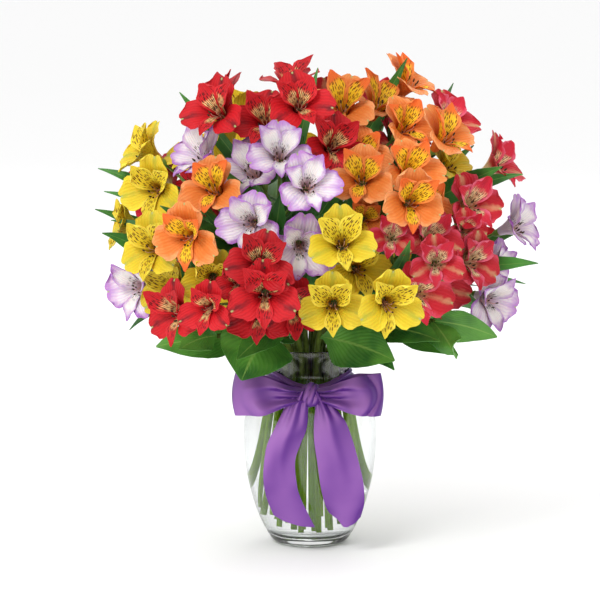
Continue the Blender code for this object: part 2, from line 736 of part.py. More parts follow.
def make_water(collection, paths):
    """The water, with a plain hole for each stem that stands in it."""
    fill = GLASS + WATER_GAP
    low = GLASS_FLOOR + WATER_GAP
    wall = [(radius - fill, height) for height, radius in VASE_OUTLINE[1:] if height < WATER_LEVEL]
    floor = (vase_radius(GLASS_FLOOR) - fill - FLOOR_BEVEL, low)
    top = vase_radius(WATER_LEVEL) - fill
    profile = [(0, WATER_LEVEL), (top, WATER_LEVEL), *reversed(wall), floor, (0, low)]
    water = turned("water", profile, collection, "water")
    water.data = settled(water)
    water.modifiers.clear()
    holes = bpy.data.collections.new("holes")
    bpy.context.scene.collection.children.link(holes)
    for path in paths:
        foot, waist = path[:2]
        line = [foot + (foot - waist).normalized() * HOLE_GAP, waist]
        tube(line, [STEM_FOOT_RADIUS + HOLE_GAP] * 2, STEM_SIDES, holes, name="hole")
    cut = water.modifiers.new("holes", "BOOLEAN")
    cut.operation = "DIFFERENCE"
    cut.operand_type = "COLLECTION"
    cut.collection = holes
    cut.solver = "MANIFOLD"
    water.data = settled(water)
    water.modifiers.clear()
    merge_flat(water.data)
    for hole in list(holes.objects):
        bpy.data.objects.remove(hole)
    bpy.data.collections.remove(holes)
    return water


def strip(path, halves, acrosses, collection, name, bulge):
    """A length of ribbon along the points, with its half width and its crosswise direction at
    each of them, and its middle bulging outwards. It is thickened evenly."""
    bm = bmesh.new()
    bmesh.ops.create_grid(bm, x_segments=2, y_segments=len(path) - 1, size=1)
    for vertex in bm.verts:
        row = round((vertex.co.y + 1) / 2 * (len(path) - 1))
        column = round(vertex.co.x)
        ahead = path[min(row + 1, len(path) - 1)] - path[max(row - 1, 0)]
        outward = ahead.cross(acrosses[row]).normalized() * bulge * (1 - abs(column))
        vertex.co = path[row] + acrosses[row] * halves[row] * column + outward
    made = bpy.data.meshes.new(name)
    bm.to_mesh(made)
    bm.free()
    ribbon = new_object(name, made, collection)
    thick = ribbon.modifiers.new("thickness", "SOLIDIFY")
    thick.thickness = RIBBON_THICK
    thick.offset = 0
    ribbon.data = settled(ribbon)
    ribbon.modifiers.clear()
    return ribbon


def loop_strip(side, reach, collection):
    """One loop of the bow: out along the front, round its end and back behind to the knot. Its
    lower edge leans forward, clear of the vase's shoulder."""
    across = Vector((0, LOOP_LEAN, 1)).normalized()
    path, halves = [], []
    for step in range(LOOP_STEPS + 1):
        angle = math.tau * step / LOOP_STEPS
        out = (1 - math.cos(angle)) / 2
        depth = math.sin(angle) * (LOOP_FRONT if angle < math.pi else LOOP_BACK)
        place = Vector((side * (LOOP_ROOT + reach * out), -depth - LOOP_FORWARD * out, -LOOP_DROP * out))
        path.append(KNOT + place)
        spread = min(1.0, out * LOOP_WIDENING)
        halves.append(LOOP_ROOT_HALF + (RIBBON_WIDTH / 2 - LOOP_ROOT_HALF) * spread)
    return strip(path, halves, [across] * len(path), collection, "loop", LOOP_BULGE * side)


def tail_strip(stations, collection):
    """One tail of the bow, lying down the front of the vase."""
    path = [Vector(place) for place, _, _ in stations]
    acrosses = []
    for _, _, turned_up in stations:
        angle = math.radians(turned_up)
        acrosses.append(Vector((math.cos(angle), 0, math.sin(angle))))
    return strip(path, [half for _, half, _ in stations], acrosses, collection, "tail", TAIL_BULGE)


def make_knot(collection):
    """The knot of the bow, an egg shape that lies on the shoulder's slope."""
    bm = bmesh.new()
    bmesh.ops.create_icosphere(bm, subdivisions=2, radius=1)
    lean = Matrix.Rotation(-KNOT_SLOPE, 4, "X")
    shape = Matrix.Translation(KNOT) @ lean @ Matrix.Diagonal((*KNOT_AXES, 1))
    bmesh.ops.transform(bm, matrix=shape, verts=bm.verts)
    return new_object("knot", mesh_of(bm, "knot"), collection)


def make_ribbon(collection):
    """The ribbon in one length: a gathered band round the neck, a knot, two loops and two tails."""
    inner = [(vase_radius(height) + RIBBON_GAP, height) for height, _ in BAND_STATIONS]
    outer = [(radius + thick, height) for (radius, height), (_, thick) in zip(inner, BAND_STATIONS)]
    ribbon = turned("ribbon_bow", [*inner, *reversed(outer)], collection, "satin")
    ribbon.data = settled(ribbon)
    ribbon.modifiers.clear()
    loops = [loop_strip(-1, LEFT_REACH, collection), loop_strip(1, RIGHT_REACH, collection)]
    tails = [tail_strip(LEFT_TAIL, collection), tail_strip(RIGHT_TAIL, collection)]
    fuse(ribbon, [make_knot(collection), *loops, *tails])
    return ribbon


def crown_mesh(matrix):
    """A bloom without its pedicel."""
    bm = bmesh.new()
    bm.faces.new(perianth(bm))
    bmesh.ops.transform(bm, matrix=matrix, verts=bm.verts)
    return mesh_of(bm, "crown")


def place_umbel(umbel, hub, taken):
    """Picks each bloom's matrix: the first choice that is clear of the other umbels, and of its
    own one where it can be."""
    name, _, side, places = umbel
    middle = face_middle(umbel)
    own, picked, found = [], [], []
    for u, v in places:
        best = None
        for matrix in choices(u, v, side, middle):
            whole = tree_of(bloom_mesh(matrix, hub), TEST_SWELL)
            crown = tree_of(crown_mesh(matrix), TEST_SWELL)
            others = sum(1 for tree in taken if whole.overlap(tree))
            crossed = (others, sum(1 for tree in own if crown.overlap(tree)))
            if best is None or crossed < best[0]:
                best = (crossed, matrix, whole, crown)
            if crossed == (0, 0):
                break
        crossed, matrix, whole, crown = best
        if crossed[0]:
            print("no clear place for a bloom of", name, (u, v), crossed)
        picked.append(matrix)
        found.append(whole)
        own.append(crown)
    taken.extend(found)
    return picked


def place_stem(name, neck, top, lead, taken, collection):
    """Picks a stem's path: the first choice that is clear of all that stands there. Returns the
    path and its search tree."""
    best = None
    for sway in STEM_SWAYS:
        for rise in STEM_RISES:
            path = stem_path(neck, top, lead, rise, sway)
            probe = tube(path, stem_radii(len(path), STEM_MARGIN), STEM_SIDES, collection)
            tree = tree_of(probe.data)
            bpy.data.objects.remove(probe)
            crossed = sum(1 for other in taken if tree.overlap(other))
            if best is None or crossed < best[0]:
                best = (crossed, path, tree)
            if not crossed:
                break
        if not best[0]:
            break
    if best[0]:
        print("no clear way for the stem of", name, best[0])
    return best[1:]


def place_leaf(path, leaf, taken):
    """Picks a leaf's mesh: the first choice that is clear of all that stands there. Returns the
    mesh and its search tree, or nothing."""
    for mesh in leaf_choices(path, leaf):
        tree = tree_of(mesh, TEST_SWELL)
        if not any(tree.overlap(other) for other in taken):
            return mesh, tree
    print("no clear place for a leaf of", leaf)
    return None, None


def make_umbel(umbel, hub, lead, matrices, collection):
    """An umbel: its blooms, joined by their pedicels at the hub. The hub is a pointed boss whose
    lower point is seated on the stem's top."""
    name, colour, _, _ = umbel
    bm = bmesh.new()
    seat = Matrix.Translation(hub) @ lead.to_track_quat("Z", "Y").to_matrix().to_4x4()
    bmesh.ops.create_uvsphere(bm, u_segments=4, v_segments=2, radius=HUB_RADIUS, matrix=seat)
    head = new_object("umbel_" + name, mesh_of(bm, name), collection, colour)
    fuse(head, [new_object("bloom", bloom_mesh(m, hub), collection) for m in matrices])
    return head


def make_stem(name, path, leaves, collection):
    """A leafy stem: a tapered bar with its leaves grown into it."""
    stem = tube(path, stem_radii(len(path)), STEM_SIDES, collection, "leaf", "stem_" + name)
    fuse(stem, [new_object("leaf", mesh, collection) for mesh in leaves])
    return stem


def main():
    """Builds the vase and the ribbon, then the umbels, the stems with their leaves, and the water."""
    for obj in list(bpy.data.objects):
        bpy.data.objects.remove(obj)
    bouquet = bpy.data.collections.new("alstroemeria_vase")
    bpy.context.scene.collection.children.link(bouquet)
    vase = make_vase(bouquet)
    ribbon = make_ribbon(bouquet)
    hubs = [hub_of(umbel) for umbel in UMBELS]
    tops = [sight_point(u * MM, v * MM, depth * MM, side) for _, side, (u, v), depth in SPRAYS]
    necks = neck_places([*hubs, *tops])
    blooms = []
    placed = [place_umbel(umbel, hub, blooms) for umbel, hub in zip(UMBELS, hubs)]
    ovaries = [mean(matrix.to_translation() for matrix in found) for found in placed]
    leads = [(middle - hub).normalized() for middle, hub in zip(ovaries, hubs)]
    heads = [make_umbel(*found, bouquet) for found in zip(UMBELS, hubs, leads, placed)]
    solids = [tree_of(settled(vase)), tree_of(ribbon.data), *(tree_of(head.data) for head in heads)]
    ends = {}
    for (name, *_), hub, neck, lead in zip(UMBELS, hubs, necks, leads):
        ends[name] = (neck, hub - lead * (HUB_RADIUS + HUB_GAP), lead)
    for (name, *_), top, neck in zip(SPRAYS, tops, necks[len(hubs):]):
        ends[name] = (neck, top, Vector((top.x, top.y, 0)).normalized())
    paths, stems = {}, {}
    for name, (neck, top, lead) in ends.items():
        paths[name], stems[name] = place_stem(name, neck, top, lead, [*solids, *stems.values()], bouquet)
    leaves = {name: [] for name in paths}
    for leaf in LEAVES:
        name = leaf[0]
        others = [tree for owner, tree in stems.items() if owner != name]
        mesh, tree = place_leaf(paths[name], leaf, [*solids, *others])
        if mesh:
            leaves[name].append(mesh)
            solids.append(tree)
    for name, path in paths.items():
        make_stem(name, path, leaves[name], bouquet)
    make_water(bouquet, paths.values())


if __name__ == "__main__":
    main()
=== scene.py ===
"""A vase of mixed alstroemeria: blooms with ruffled and freckled tepals, leafy stems in water,
clear glass and a satin bow. Metres, +Z up, the vase's foot at the origin, the front towards -Y.
"""

import random
from math import atan2, cos, exp, pi, radians, sin, sqrt, tau

import bmesh
import bpy
from mathutils import Matrix, Vector
from mathutils.kdtree import KDTree


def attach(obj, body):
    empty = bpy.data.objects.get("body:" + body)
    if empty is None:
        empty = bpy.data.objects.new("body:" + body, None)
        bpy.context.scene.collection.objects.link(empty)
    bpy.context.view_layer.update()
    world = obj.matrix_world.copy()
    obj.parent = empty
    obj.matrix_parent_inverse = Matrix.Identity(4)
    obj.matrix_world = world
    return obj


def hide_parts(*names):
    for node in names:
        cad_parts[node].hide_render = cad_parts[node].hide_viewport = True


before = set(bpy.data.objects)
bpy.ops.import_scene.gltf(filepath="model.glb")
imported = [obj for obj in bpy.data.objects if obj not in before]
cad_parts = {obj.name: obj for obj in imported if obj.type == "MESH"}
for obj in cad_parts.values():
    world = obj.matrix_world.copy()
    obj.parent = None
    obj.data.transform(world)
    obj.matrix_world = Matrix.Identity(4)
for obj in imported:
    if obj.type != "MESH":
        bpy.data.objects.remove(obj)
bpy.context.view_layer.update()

MM = 0.001
FRONT, BACK = 1, -1
UP = Vector((0, 0, 1))

# Places, as the part's own source works them out
EYE_DISTANCE, EYE_HEIGHT = 2.4, 0.533
DOME_CENTRE = Vector((0, 0, 0.252))
DOME_AXES = Vector((0.176, 0.168, 0.166))
FACE_TURN, FACE_SPREAD, FACE_RISE, FACE_LIFT, FACE_FAN = 0.50, 0.85, 0.75, 0.12, 5.0
CUP_FLOOR, FACE_HEIGHT = 0.0050, 0.034
HUB_RADIUS, HUB_DEPTH, HUB_GAP = 0.0050, 0.036, 0.0003
CORE = Vector((0, 0, 0.190))
STEM_FOOT_RADIUS, STEM_TOP_RADIUS = 0.0029, 0.0021
NECK_HEIGHT, NECK_REACH, NECK_SPACING, NECK_TILT = 0.157, 0.0265, 0.0078, radians(80)
FOOT_SPREAD, FOOT_LOW, FOOT_RAISE = 1.62, 0.0125, 0.030
STEM_LEAD = 0.30
BLOOM_SIZES = [1.0, 0.9, 0.8, 0.7]
BLOOM_STEPS = [step * MM for step in (0, 8, -7, 16, -13, 25, -20, 34)]
STEM_RISES = [0.42, 0.55, 0.30, 0.70]
STEM_SWAYS = [step * MM for step in (0, 9, -9, 18, -18, 28, -28)]
LEAF_SIZES = [1.0, 0.8]
LEAF_DEPTHS = [step * MM for step in (0, 12, -12, 26, -26, 42, -42)]
LEAF_ARCHES = [step * MM for step in (0, 9, -9, 18, -18)]
LEAF_TURNS = [0, 0.35, -0.35, 0.7, -0.7]
LANCE_STATIONS = [(0.38, 1.0), (0.72, 0.78)]
BROAD_STATIONS = [(0.13, 0.42), (0.42, 1.0), (0.76, 0.66)]
BROAD_OVER = 10.5
LEAF_CHANNEL, LEAF_SIDEWAYS = 0.16, 0.45

# Vase: height and outer radius
FOOT_RADIUS, VASE_HEIGHT = 0.030, 0.178
VASE_OUTLINE = [
    (0.006, 0.0370), (0.030, 0.0485), (0.062, 0.0572), (0.098, 0.0604), (0.122, 0.0575),
    (0.139, 0.0480), (0.151, 0.0370), (0.159, 0.0352), (VASE_HEIGHT, 0.0430),
]
GLASS, GLASS_FLOOR, RIM_ROUND = 0.0032, 0.009, 0.0014
WATER_LEVEL, WATER_IN_GLASS = 0.130, 0.0002
# The foot's hollow underside and the floor inside it, up to where the wall's curve takes over:
# radius, and height or height over the floor
FOOT_HOLLOW = [(0, 0.0022), (0.018, 0.0018), (0.0255, 0.0004), (0.0285, 0.0)]
FLOOR_RISE = [(0, 0), (0.022, 0.0003), (0.0315, 0.002)]
WALL_START = 0.004
# The water's level falls a little from its edge to its middle: how far in, and how far down
MENISCUS, WATER_MIDDLE = (0.0015, 0.0006), 0.0008
TURN_STEPS = 96

# Umbels: name, colour, the side seen, and the (u, v) of each bloom's face in millimetres
UMBELS = [
    ("red_top", "red", FRONT, [
        (-84, 407), (-50, 412), (-13, 418), (-42, 388), (-8, 386), (24, 369), (-78, 380)
    ]),
    ("lilac_centre", "lilac", FRONT, [
        (-107, 362), (-63, 362), (-27, 354), (1, 323), (-53, 290), (-8, 271)
    ]),
    ("yellow_high", "yellow", FRONT, [(-146, 328), (-152, 360), (-127, 384)]),
    ("orange_left", "orange", FRONT, [(-88, 326), (-70, 300), (-112, 281)]),
    ("yellow_left", "yellow", FRONT, [(-147, 270), (-101, 241), (-146, 226), (-173, 292)]),
    ("lilac_left", "lilac", FRONT, [(-182, 260), (-170, 233)]),
    ("red_low", "red", FRONT, [
        (-117, 211), (-85, 219), (-69, 238), (-36, 230), (-51, 206), (-16, 211), (-40, 256)
    ]),
    ("yellow_centre", "yellow", FRONT, [(28, 272), (56, 252), (20, 214), (66, 222)]),
    ("orange_top", "orange", FRONT, [(60, 406), (28, 404), (84, 412), (90, 382), (56, 372)]),
    ("orange_right", "orange", FRONT, [(46, 334), (92, 343), (114, 360), (56, 305), (87, 307), (122, 318)]),
    ("cherry_right", "cherry", FRONT, [
        (79, 282), (115, 284), (107, 254), (146, 258), (105, 223), (146, 228)
    ]),
    ("cherry_top", "cherry", FRONT, [(101, 401), (128, 390)]),
    ("yellow_right", "yellow", FRONT, [(148, 364)]),
    ("cherry_side", "cherry", FRONT, [(162, 344), (150, 310), (150, 287)]),
    ("lilac_right", "lilac", FRONT, [(172, 320), (180, 288), (178, 249), (166, 220)]),
    ("cherry_back", "cherry", BACK, [(-14, 396), (-66, 398), (-42, 350)]),
    ("yellow_back", "yellow", BACK, [(64, 384), (102, 362), (18, 356), (66, 336)]),
    ("lilac_back", "lilac", BACK, [(-4, 312), (-44, 290), (28, 268)]),
    ("red_back", "red", BACK, [(70, 286), (112, 306), (112, 262)]),
    ("orange_back", "orange", BACK, [(-92, 326), (-108, 368), (-134, 306), (-96, 276)]),
    ("yellow_low_back", "yellow", BACK, [(-66, 236), (-110, 226), (-32, 208)]),
    ("orange_low_back", "orange", BACK, [(12, 226), (62, 204), (66, 240)]),
    ("red_far", "red", BACK, [(-154, 262), (-148, 220)]),
    ("cherry_far", "cherry", BACK, [(150, 272), (146, 324), (128, 214)]),
]
SPRAYS = [
    ("spray_left", FRONT, (-84, 188), -72),
    ("spray_front", FRONT, (-42, 196), -62),
    ("spray_right", FRONT, (112, 202), -70),
    ("spray_back_left", BACK, (-92, 188), -72),
    ("spray_back_right", BACK, (96, 190), -72),
]
# Each stem's leaves: share of the way up it, tip (u, v), tip's depth, half width, arch and tilt, in
# millimetres and degrees, and the side seen where it isn't the stem's
LEAVES = {
    "spray_front": [(0.90, (-62, 148), -94, 31, 3, 85)],
    "yellow_centre": [(0.32, (76, 166), -102, 22, 6, 85), (0.80, (0, 236), -140, 8, 0, 60)],
    "red_low": [(0.60, (-66, 167), -118, 13, 6, 85), (0.78, (-20, 240), -118, 10, 6, 60)],
    "spray_left": [(0.62, (-139, 179), -70, 18, 4, 80), (0.98, (-118, 176), -92, 13, 6, 80)],
    "spray_right": [
        (0.45, (117, 184), -106, 15, 8, 80), (0.26, (76, 158), -84, 10, 10, 70),
        (0.62, (134, 171), -84, 14, 2, 80), (0.98, (133, 168), -112, 13, 6, 85),
        (0.93, (169, 187), -74, 16, 8, 80),
    ],
    "spray_back_left": [
        (0.34, (-58, 150), -98, 25, 14, 80), (0.98, (-142, 184), -60, 16, 8, 70),
        (0.60, (-104, 164), -96, 13, 12, 70),
    ],
    "spray_back_right": [
        (0.24, (20, 152), -110, 17, 18, 80), (0.46, (74, 150), -92, 23, 14, 80),
        (0.98, (144, 182), -60, 16, 8, 70),
    ],
    "lilac_right": [
        (0.88, (175, 203), -5, 6, 16, 40), (0.94, (205, 255), -20, 8, 6, 40),
        (0.90, (194, 237), -10, 5, 6, 40),
    ],
    "yellow_left": [
        (0.80, (-164, 194), -30, 6, 30, 50), (0.92, (-203, 309), 0, 7, 8, 40),
        (0.66, (-92, 262), -112, 10, 6, 60),
    ],
    "yellow_high": [(0.90, (-190, 341), 5, 6, 6, 30), (0.84, (-185, 320), 10, 5, 4, 30)],
    "lilac_left": [(0.92, (-186, 282), -45, 8, 8, 50), (0.84, (-162, 218), -70, 5, 14, 50)],
    "cherry_back": [(0.92, (86, 438), 30, 7, 0, 60, FRONT), (0.86, (-74, 364), -140, 8, 0, 60)],
    "cherry_top": [(0.88, (128, 416), 20, 6, 0, 60)],
    "yellow_right": [(0.92, (170, 341), -70, 9, 4, 60), (0.86, (190, 335), -20, 6, 6, 30)],
    "cherry_right": [
        (0.92, (90, 273), -150, 6, 3, 60), (0.78, (62, 234), -130, 8, 3, 60),
        (0.60, (84, 246), -104, 10, 6, 60),
    ],
    "orange_left": [
        (0.92, (-134, 306), -110, 7, 0, 60), (0.86, (-60, 270), -140, 8, 0, 60),
        (0.70, (-26, 318), -112, 10, 6, 60),
    ],
    "lilac_centre": [
        (0.88, (-78, 340), -130, 7, 0, 60), (0.84, (20, 300), -150, 7, 0, 60),
        (0.70, (30, 330), -120, 10, 6, 60),
    ],
    "red_top": [(0.92, (7, 430), 0, 5, 0, 60), (0.76, (2, 368), -70, 10, 6, 60)],
    "orange_right": [(0.88, (18, 300), -140, 8, 0, 60)],
    "red_far": [(0.92, (-196, 282), -20, 7, 8, 40), (0.86, (-176, 196), -40, 8, 12, 50)],
    "orange_back": [(0.90, (-154, 352), -60, 7, 6, 50)],
    "yellow_back": [(0.90, (120, 404), -40, 7, 4, 60), (0.84, (32, 320), -150, 8, 0, 60)],
    "cherry_far": [(0.92, (196, 300), -20, 7, 8, 40), (0.84, (184, 236), -20, 7, 8, 50)],
    "lilac_back": [(0.88, (-8, 250), -160, 8, 0, 60), (0.70, (2, 340), -112, 10, 6, 60)],
    "red_back": [(0.88, (96, 232), -140, 8, 4, 60), (0.70, (44, 300), -104, 10, 6, 60)],
    "orange_low_back": [(0.80, (36, 190), -130, 9, 6, 60), (0.66, (6, 252), -118, 10, 6, 60)],
    "orange_top": [(0.72, (64, 348), -96, 10, 6, 60)],
    "cherry_side": [(0.80, (112, 302), -92, 10, 6, 60)],
    "yellow_low_back": [(0.72, (-60, 270), -104, 10, 6, 60)],
}

# Tepals, the topmost outer one last: kind, the angle its tip leans to from the bloom's top, and
# how far it opens. Then the (radius, height) of their tips in the solids
TEPALS = [
    ("inner", 45, 0.92), ("outer", 118, 1.0), ("lower", 180, 1.10),
    ("outer", 242, 1.0), ("inner", 315, 0.92), ("outer", 0, 0.90),
]
SOLID_TIPS = {"outer": (0.0310, 0.0330), "inner": (0.0245, 0.0410), "lower": (0.0245, 0.0410)}

# The run of a tepal's middle as (radius, height) controls, its half width, that width's share
# along it, how it cups from base to tip, and how its end is drawn back: at its corners and in a
# notch at its middle, as shares of its length
TEPAL_RUNS = {
    "outer": [(0.0034, 0.0078), (0.0050, 0.0235), (0.0180, 0.0325), (0.0335, 0.0325)],
    "inner": [(0.0030, 0.0080), (0.0028, 0.0255), (0.0115, 0.0345), (0.0262, 0.0425)],
    "lower": [(0.0030, 0.0080), (0.0040, 0.0235), (0.0140, 0.0330), (0.0265, 0.0345)],
}
TEPAL_HALVES = {"outer": 0.0158, "inner": 0.0100, "lower": 0.0074}
TEPAL_WIDTHS = {
    "outer": [(0, 0.20), (0.2, 0.28), (0.42, 0.66), (0.6, 0.93), (0.76, 1.0), (0.89, 0.90), (1, 0.62)],
    "inner": [(0, 0.26), (0.2, 0.32), (0.42, 0.62), (0.62, 0.93), (0.76, 1.0), (0.9, 0.86), (1, 0.50)],
    "lower": [(0, 0.28), (0.2, 0.34), (0.45, 0.60), (0.65, 0.92), (0.78, 1.0), (0.9, 0.86), (1, 0.48)],
}
TEPAL_CUPS = {"outer": (0.75, 0.14), "inner": (0.95, 0.40), "lower": (0.80, 0.30)}
TEPAL_ENDS = {"outer": (0.16, 0.05), "inner": (0.16, -0.025), "lower": (0.16, -0.03)}
TEPAL_ACROSS, TEPAL_ALONG = 8, 8
TEPAL_THICK, LEAF_THICK = 0.00045, 0.0005
# Where a tepal's narrow claw ends, where it has opened fully and where its blade starts; the width
# of its notch; and the depth of its ruffle, of the groove along its middle and of its curl
CLAW_END, OPENED, BLADE_START = 0.2, 0.5, 0.35
NOTCH_WIDTH, RUFFLE, GROOVE, CURL = 0.22, 0.0015, 0.0005, 0.0040

# The stems' steps in the solids and here, and their radii in the water, where they are thinner
# than in the solids, so that light comes between them
SOLID_STEPS, STEM_STEPS = 4, 16
WET_RADII = [0.0020, 0.0021, 0.0022, 0.0023]
# How near a corner of a solid counts as found, how many a leaf needs at least, and how far back a
# leaf's tip counts as behind
CORNER_REACH, TOO_FEW, BEHIND = 0.08 * MM, 2, 0.03
NECK_ROUNDS = 200
SHARP_ANGLE = radians(50)

# An ovary under its bloom and the knuckle at a hub: how far along the axis, and radius
OVARY = [(0.0090, 0.0033), (0.0066, 0.0036), (0.0040, 0.0033), (0.0016, 0.0022)]
KNUCKLE = [(-0.0048, 0.0022), (-0.003, 0.0034), (0, 0.0042), (0.002, 0.0034), (0.0034, 0.0012)]
PEDICEL_RADIUS, PEDICEL_SWELL, PEDICEL_STEPS = 0.00125, 0.0004, 7
STAMENS, FILAMENT_RADII = 6, [0.00042, 0.00038, 0.00034, 0.0003, 0.00024]
FILAMENT_SIDES, PEDICEL_SIDES, STEM_SIDES = 4, 8, 10
BRACTS, BRACT_TILT, INNER_LEAVES = 7, 0.6, 5
# The finishes' places on an umbel and on a leafy stem
OUTER_TEPAL, INNER_TEPAL, FILAMENT, ANTHER, PEDICEL, BRACT = range(6)
STEM, NARROW_LEAF, BROAD_LEAF = range(3)

# Each kind of leaf's growth past its solid, half width's share along it, waviness, faces across and
# along, how far edges and midrib are raised, as shares of the half width, and turn to the viewer
LANCE_WIDTHS = [
    (0, 0.16), (0.10, 0.34), (0.25, 0.82), (0.42, 1.0), (0.6, 0.92), (0.78, 0.66), (0.92, 0.26), (1, 0.03)
]
BROAD_WIDTHS = [
    (0, 0.07), (0.08, 0.10), (0.14, 0.40), (0.24, 0.78), (0.36, 0.98),
    (0.5, 1.0), (0.65, 0.86), (0.8, 0.58), (0.92, 0.26), (1, 0.03),
]
LEAF_KINDS = {
    "broad": (1.08, BROAD_WIDTHS, 0.12, (8, 18), (0.16, 0.03), 0.0),
    "lance": (1.15, LANCE_WIDTHS, 0.06, (6, 14), (0.34, -0.12), 1.0),
    "small": (1.0, LANCE_WIDTHS, 0.05, (2, 8), (0.34, -0.12), 0.0),
}

# The stage
FLOOR_SIZE, FLOOR_SHADE = 90, 0.96
LIGHTS = [
    ("key", (-1.4, -2.2, 2.2), 1.1, 50),
    ("fill", (2.4, -1.8, 1.2), 1.8, 6),
    ("rim", (0.6, 2.4, 2.2), 1.4, 16),
]
LIGHT_AIM, CAMERA_AIM = Vector((0, 0, 0.24)), Vector((-0.009, 0, 0.221))
LENS, SENSOR = 161, 36

# What each colour's outer and inner tepals look like: their colours from throat to tip, the colour
# and strength of rim, midrib and veins, a patch near the throat with how far it reaches and how
# much of it the veins leave, and their dashes with where these start and end
TEPAL_LOOKS = {
    "red_outer": (("#9c0a14", "#c2141e", "#b8121c"), ("#c21c26", 0.5), ("#4a0814", 0.80),
        ("#860a14", 0.40), None, None),
    "red_inner": (("#b02a22", "#c81822", "#c01820"), ("#d63038", 0.4), ("#9a1420", 0.3),
        ("#7c0a12", 0.60), ("#ecd890", 0.52, 0.15), ("#340a0c", 0.20, 0.78)),
    "cherry_outer": (("#ead2a2", "#c0202e", "#b41a28"), ("#dc5068", 0.7), ("#dccf94", 0.35),
        ("#a81426", 0.40), None, None),
    "cherry_inner": (("#ecd9a8", "#ce2840", "#c41c32"), ("#e2708a", 0.7), ("#b01e34", 0.3),
        ("#aa162a", 0.35), ("#ecdca6", 0.56, 0.55), ("#561420", 0.20, 0.60)),
    "orange_outer": (("#d0601e", "#de7830", "#e69252"), ("#f2a870", 0.7), ("#cc6418", 0.40),
        ("#cf5812", 0.40), None, None),
    "orange_inner": (("#e89620", "#ea7a2a", "#e8682a"), ("#ee9250", 0.6), ("#dc7020", 0.2),
        ("#cf5812", 0.35), ("#f0c824", 0.70, 0.85), ("#5e200a", 0.16, 0.78)),
    "yellow_outer": (("#b8921a", "#d8bc24", "#dcc436"), ("#f2d63c", 0.7), ("#9fa636", 0.65),
        ("#c09a14", 0.40), None, None),
    "yellow_inner": (("#bc8a1a", "#dec42a", "#e2cc38"), ("#f4dc50", 0.6), ("#c8a01a", 0.2),
        ("#c4920f", 0.35), None, ("#542808", 0.12, 0.84)),
    "lilac_outer": (("#dccad4", "#e6dade", "#b680c4"), ("#9a50b2", 0.9), ("#a868c0", 0.50),
        ("#bb90cc", 0.50), None, None),
    "lilac_inner": (("#d8b4bc", "#efe9e4", "#a866bc"), ("#b07cc8", 0.7), ("#e2dae0", 0.2),
        ("#ccb8d0", 0.40), None, ("#32122c", 0.18, 0.46)),
}


def colour(code):
    """An sRGB hex code as linear red, green, blue and alpha."""
    parts = [int(code[i : i + 2], 16) / 255 for i in (1, 3, 5)]
    return (*((c / 12.92 if c <= 0.04045 else ((c + 0.055) / 1.055) ** 2.4) for c in parts), 1)


def add(tree, kind, inputs=(), out=0, **settings):
    """Adds a node to the tree with its settings, and with values or links at its inputs, in order
    or by key. Returns its output."""
    made = tree.nodes.new("ShaderNode" + kind)
    for name, value in settings.items():
        setattr(made, name, value)
    for key, value in inputs.items() if isinstance(inputs, dict) else enumerate(inputs):
        if isinstance(value, bpy.types.NodeSocket):
            tree.links.new(value, made.inputs[key])
        else:
            made.inputs[key].default_value = value
    return made.outputs[out]


def finish_of(name, **values):
    """A new material with its shader's plain values set. Returns it and its tree."""
    made = bpy.data.materials.new(name)
    made.use_nodes = True
    shader = made.node_tree.nodes["Principled BSDF"]
    for key, value in values.items():
        shader.inputs[key.replace("_", " ")].default_value = value
    return made, made.node_tree


def covered(made, shown, height=None, strength=0.0, distance=0.0):
    """The material with its colour on, and with fine relief as deep as the distance in metres."""
    tree = made.node_tree
    shader = tree.nodes["Principled BSDF"]
    tree.links.new(shown, shader.inputs["Base Color"])
    if height:
        facts = {"Strength": strength, "Distance": distance, "Height": height}
        tree.links.new(add(tree, "Bump", facts), shader.inputs["Normal"])
    return made


def placed(name, data, place=(0, 0, 0), aim=None):
    """A new object in the scene, turned to look at its aim if it has one."""
    made = bpy.data.objects.new(name, data)
    made.location = place
    if aim:
        made.rotation_euler = (aim - Vector(place)).to_track_quat("-Z", "Y").to_euler()
    bpy.context.scene.collection.objects.link(made)
    return made


def hump(x, width):
    """1 at x = 0, with soft flanks that are gone at about twice the width."""
    return exp(-((x / width) ** 2))


def between(points, t):
    """The value at t on straight runs between (t, value) points."""
    for (t0, a), (t1, b) in zip(points, points[1:]):
        if t <= t1:
            return a + (b - a) * (t - t0) / (t1 - t0)
    return points[-1][1]


def bezier(points, t):
    while len(points) > 1:
        points = [a.lerp(b, t) for a, b in zip(points, points[1:])]
    return points[0]


def curve_between(p0, p1, p2, p3, t):
    """The point at t between p1 and p2 on the smooth curve through all four."""
    bend = (p0 * 2 - p1 * 5 + p2 * 4 - p3) * t * t
    return (p1 * 2 + (p2 - p0) * t + bend + (p1 * 3 - p0 - p2 * 3 + p3) * t**3) * 0.5


def mean(points):
    points = list(points)
    return sum(points, Vector()) / len(points)


# Where each bloom, stem and leaf stands
def sight_point(u, v, depth, side):
    """The point on the sight line through (u, v) that lies at this depth, all in metres."""
    eye = Vector((0, -EYE_DISTANCE, EYE_HEIGHT))
    point = eye + (Vector((u, 0, v)) - eye) * ((depth + EYE_DISTANCE) / EYE_DISTANCE)
    return Vector((point.x * side, point.y * side, point.z))


def dome_point(u, v, side):
    """Where the sight line through (u, v) first meets the dome, or passes closest to it."""
    scale = Vector(1 / a for a in DOME_AXES)
    start = (sight_point(u, v, -1.0, FRONT) - DOME_CENTRE) * scale
    way = (sight_point(u, v, 1.0, FRONT) - DOME_CENTRE) * scale - start
    a, b, c = way.dot(way), 2 * start.dot(way), start.dot(start) - 1
    inside = b * b - 4 * a * c
    t = (-b - sqrt(inside)) / (2 * a) if inside > 0 else -b / (2 * a)
    point = (start + way * t) * DOME_AXES + DOME_CENTRE
    return Vector((point.x * side, point.y * side, point.z))


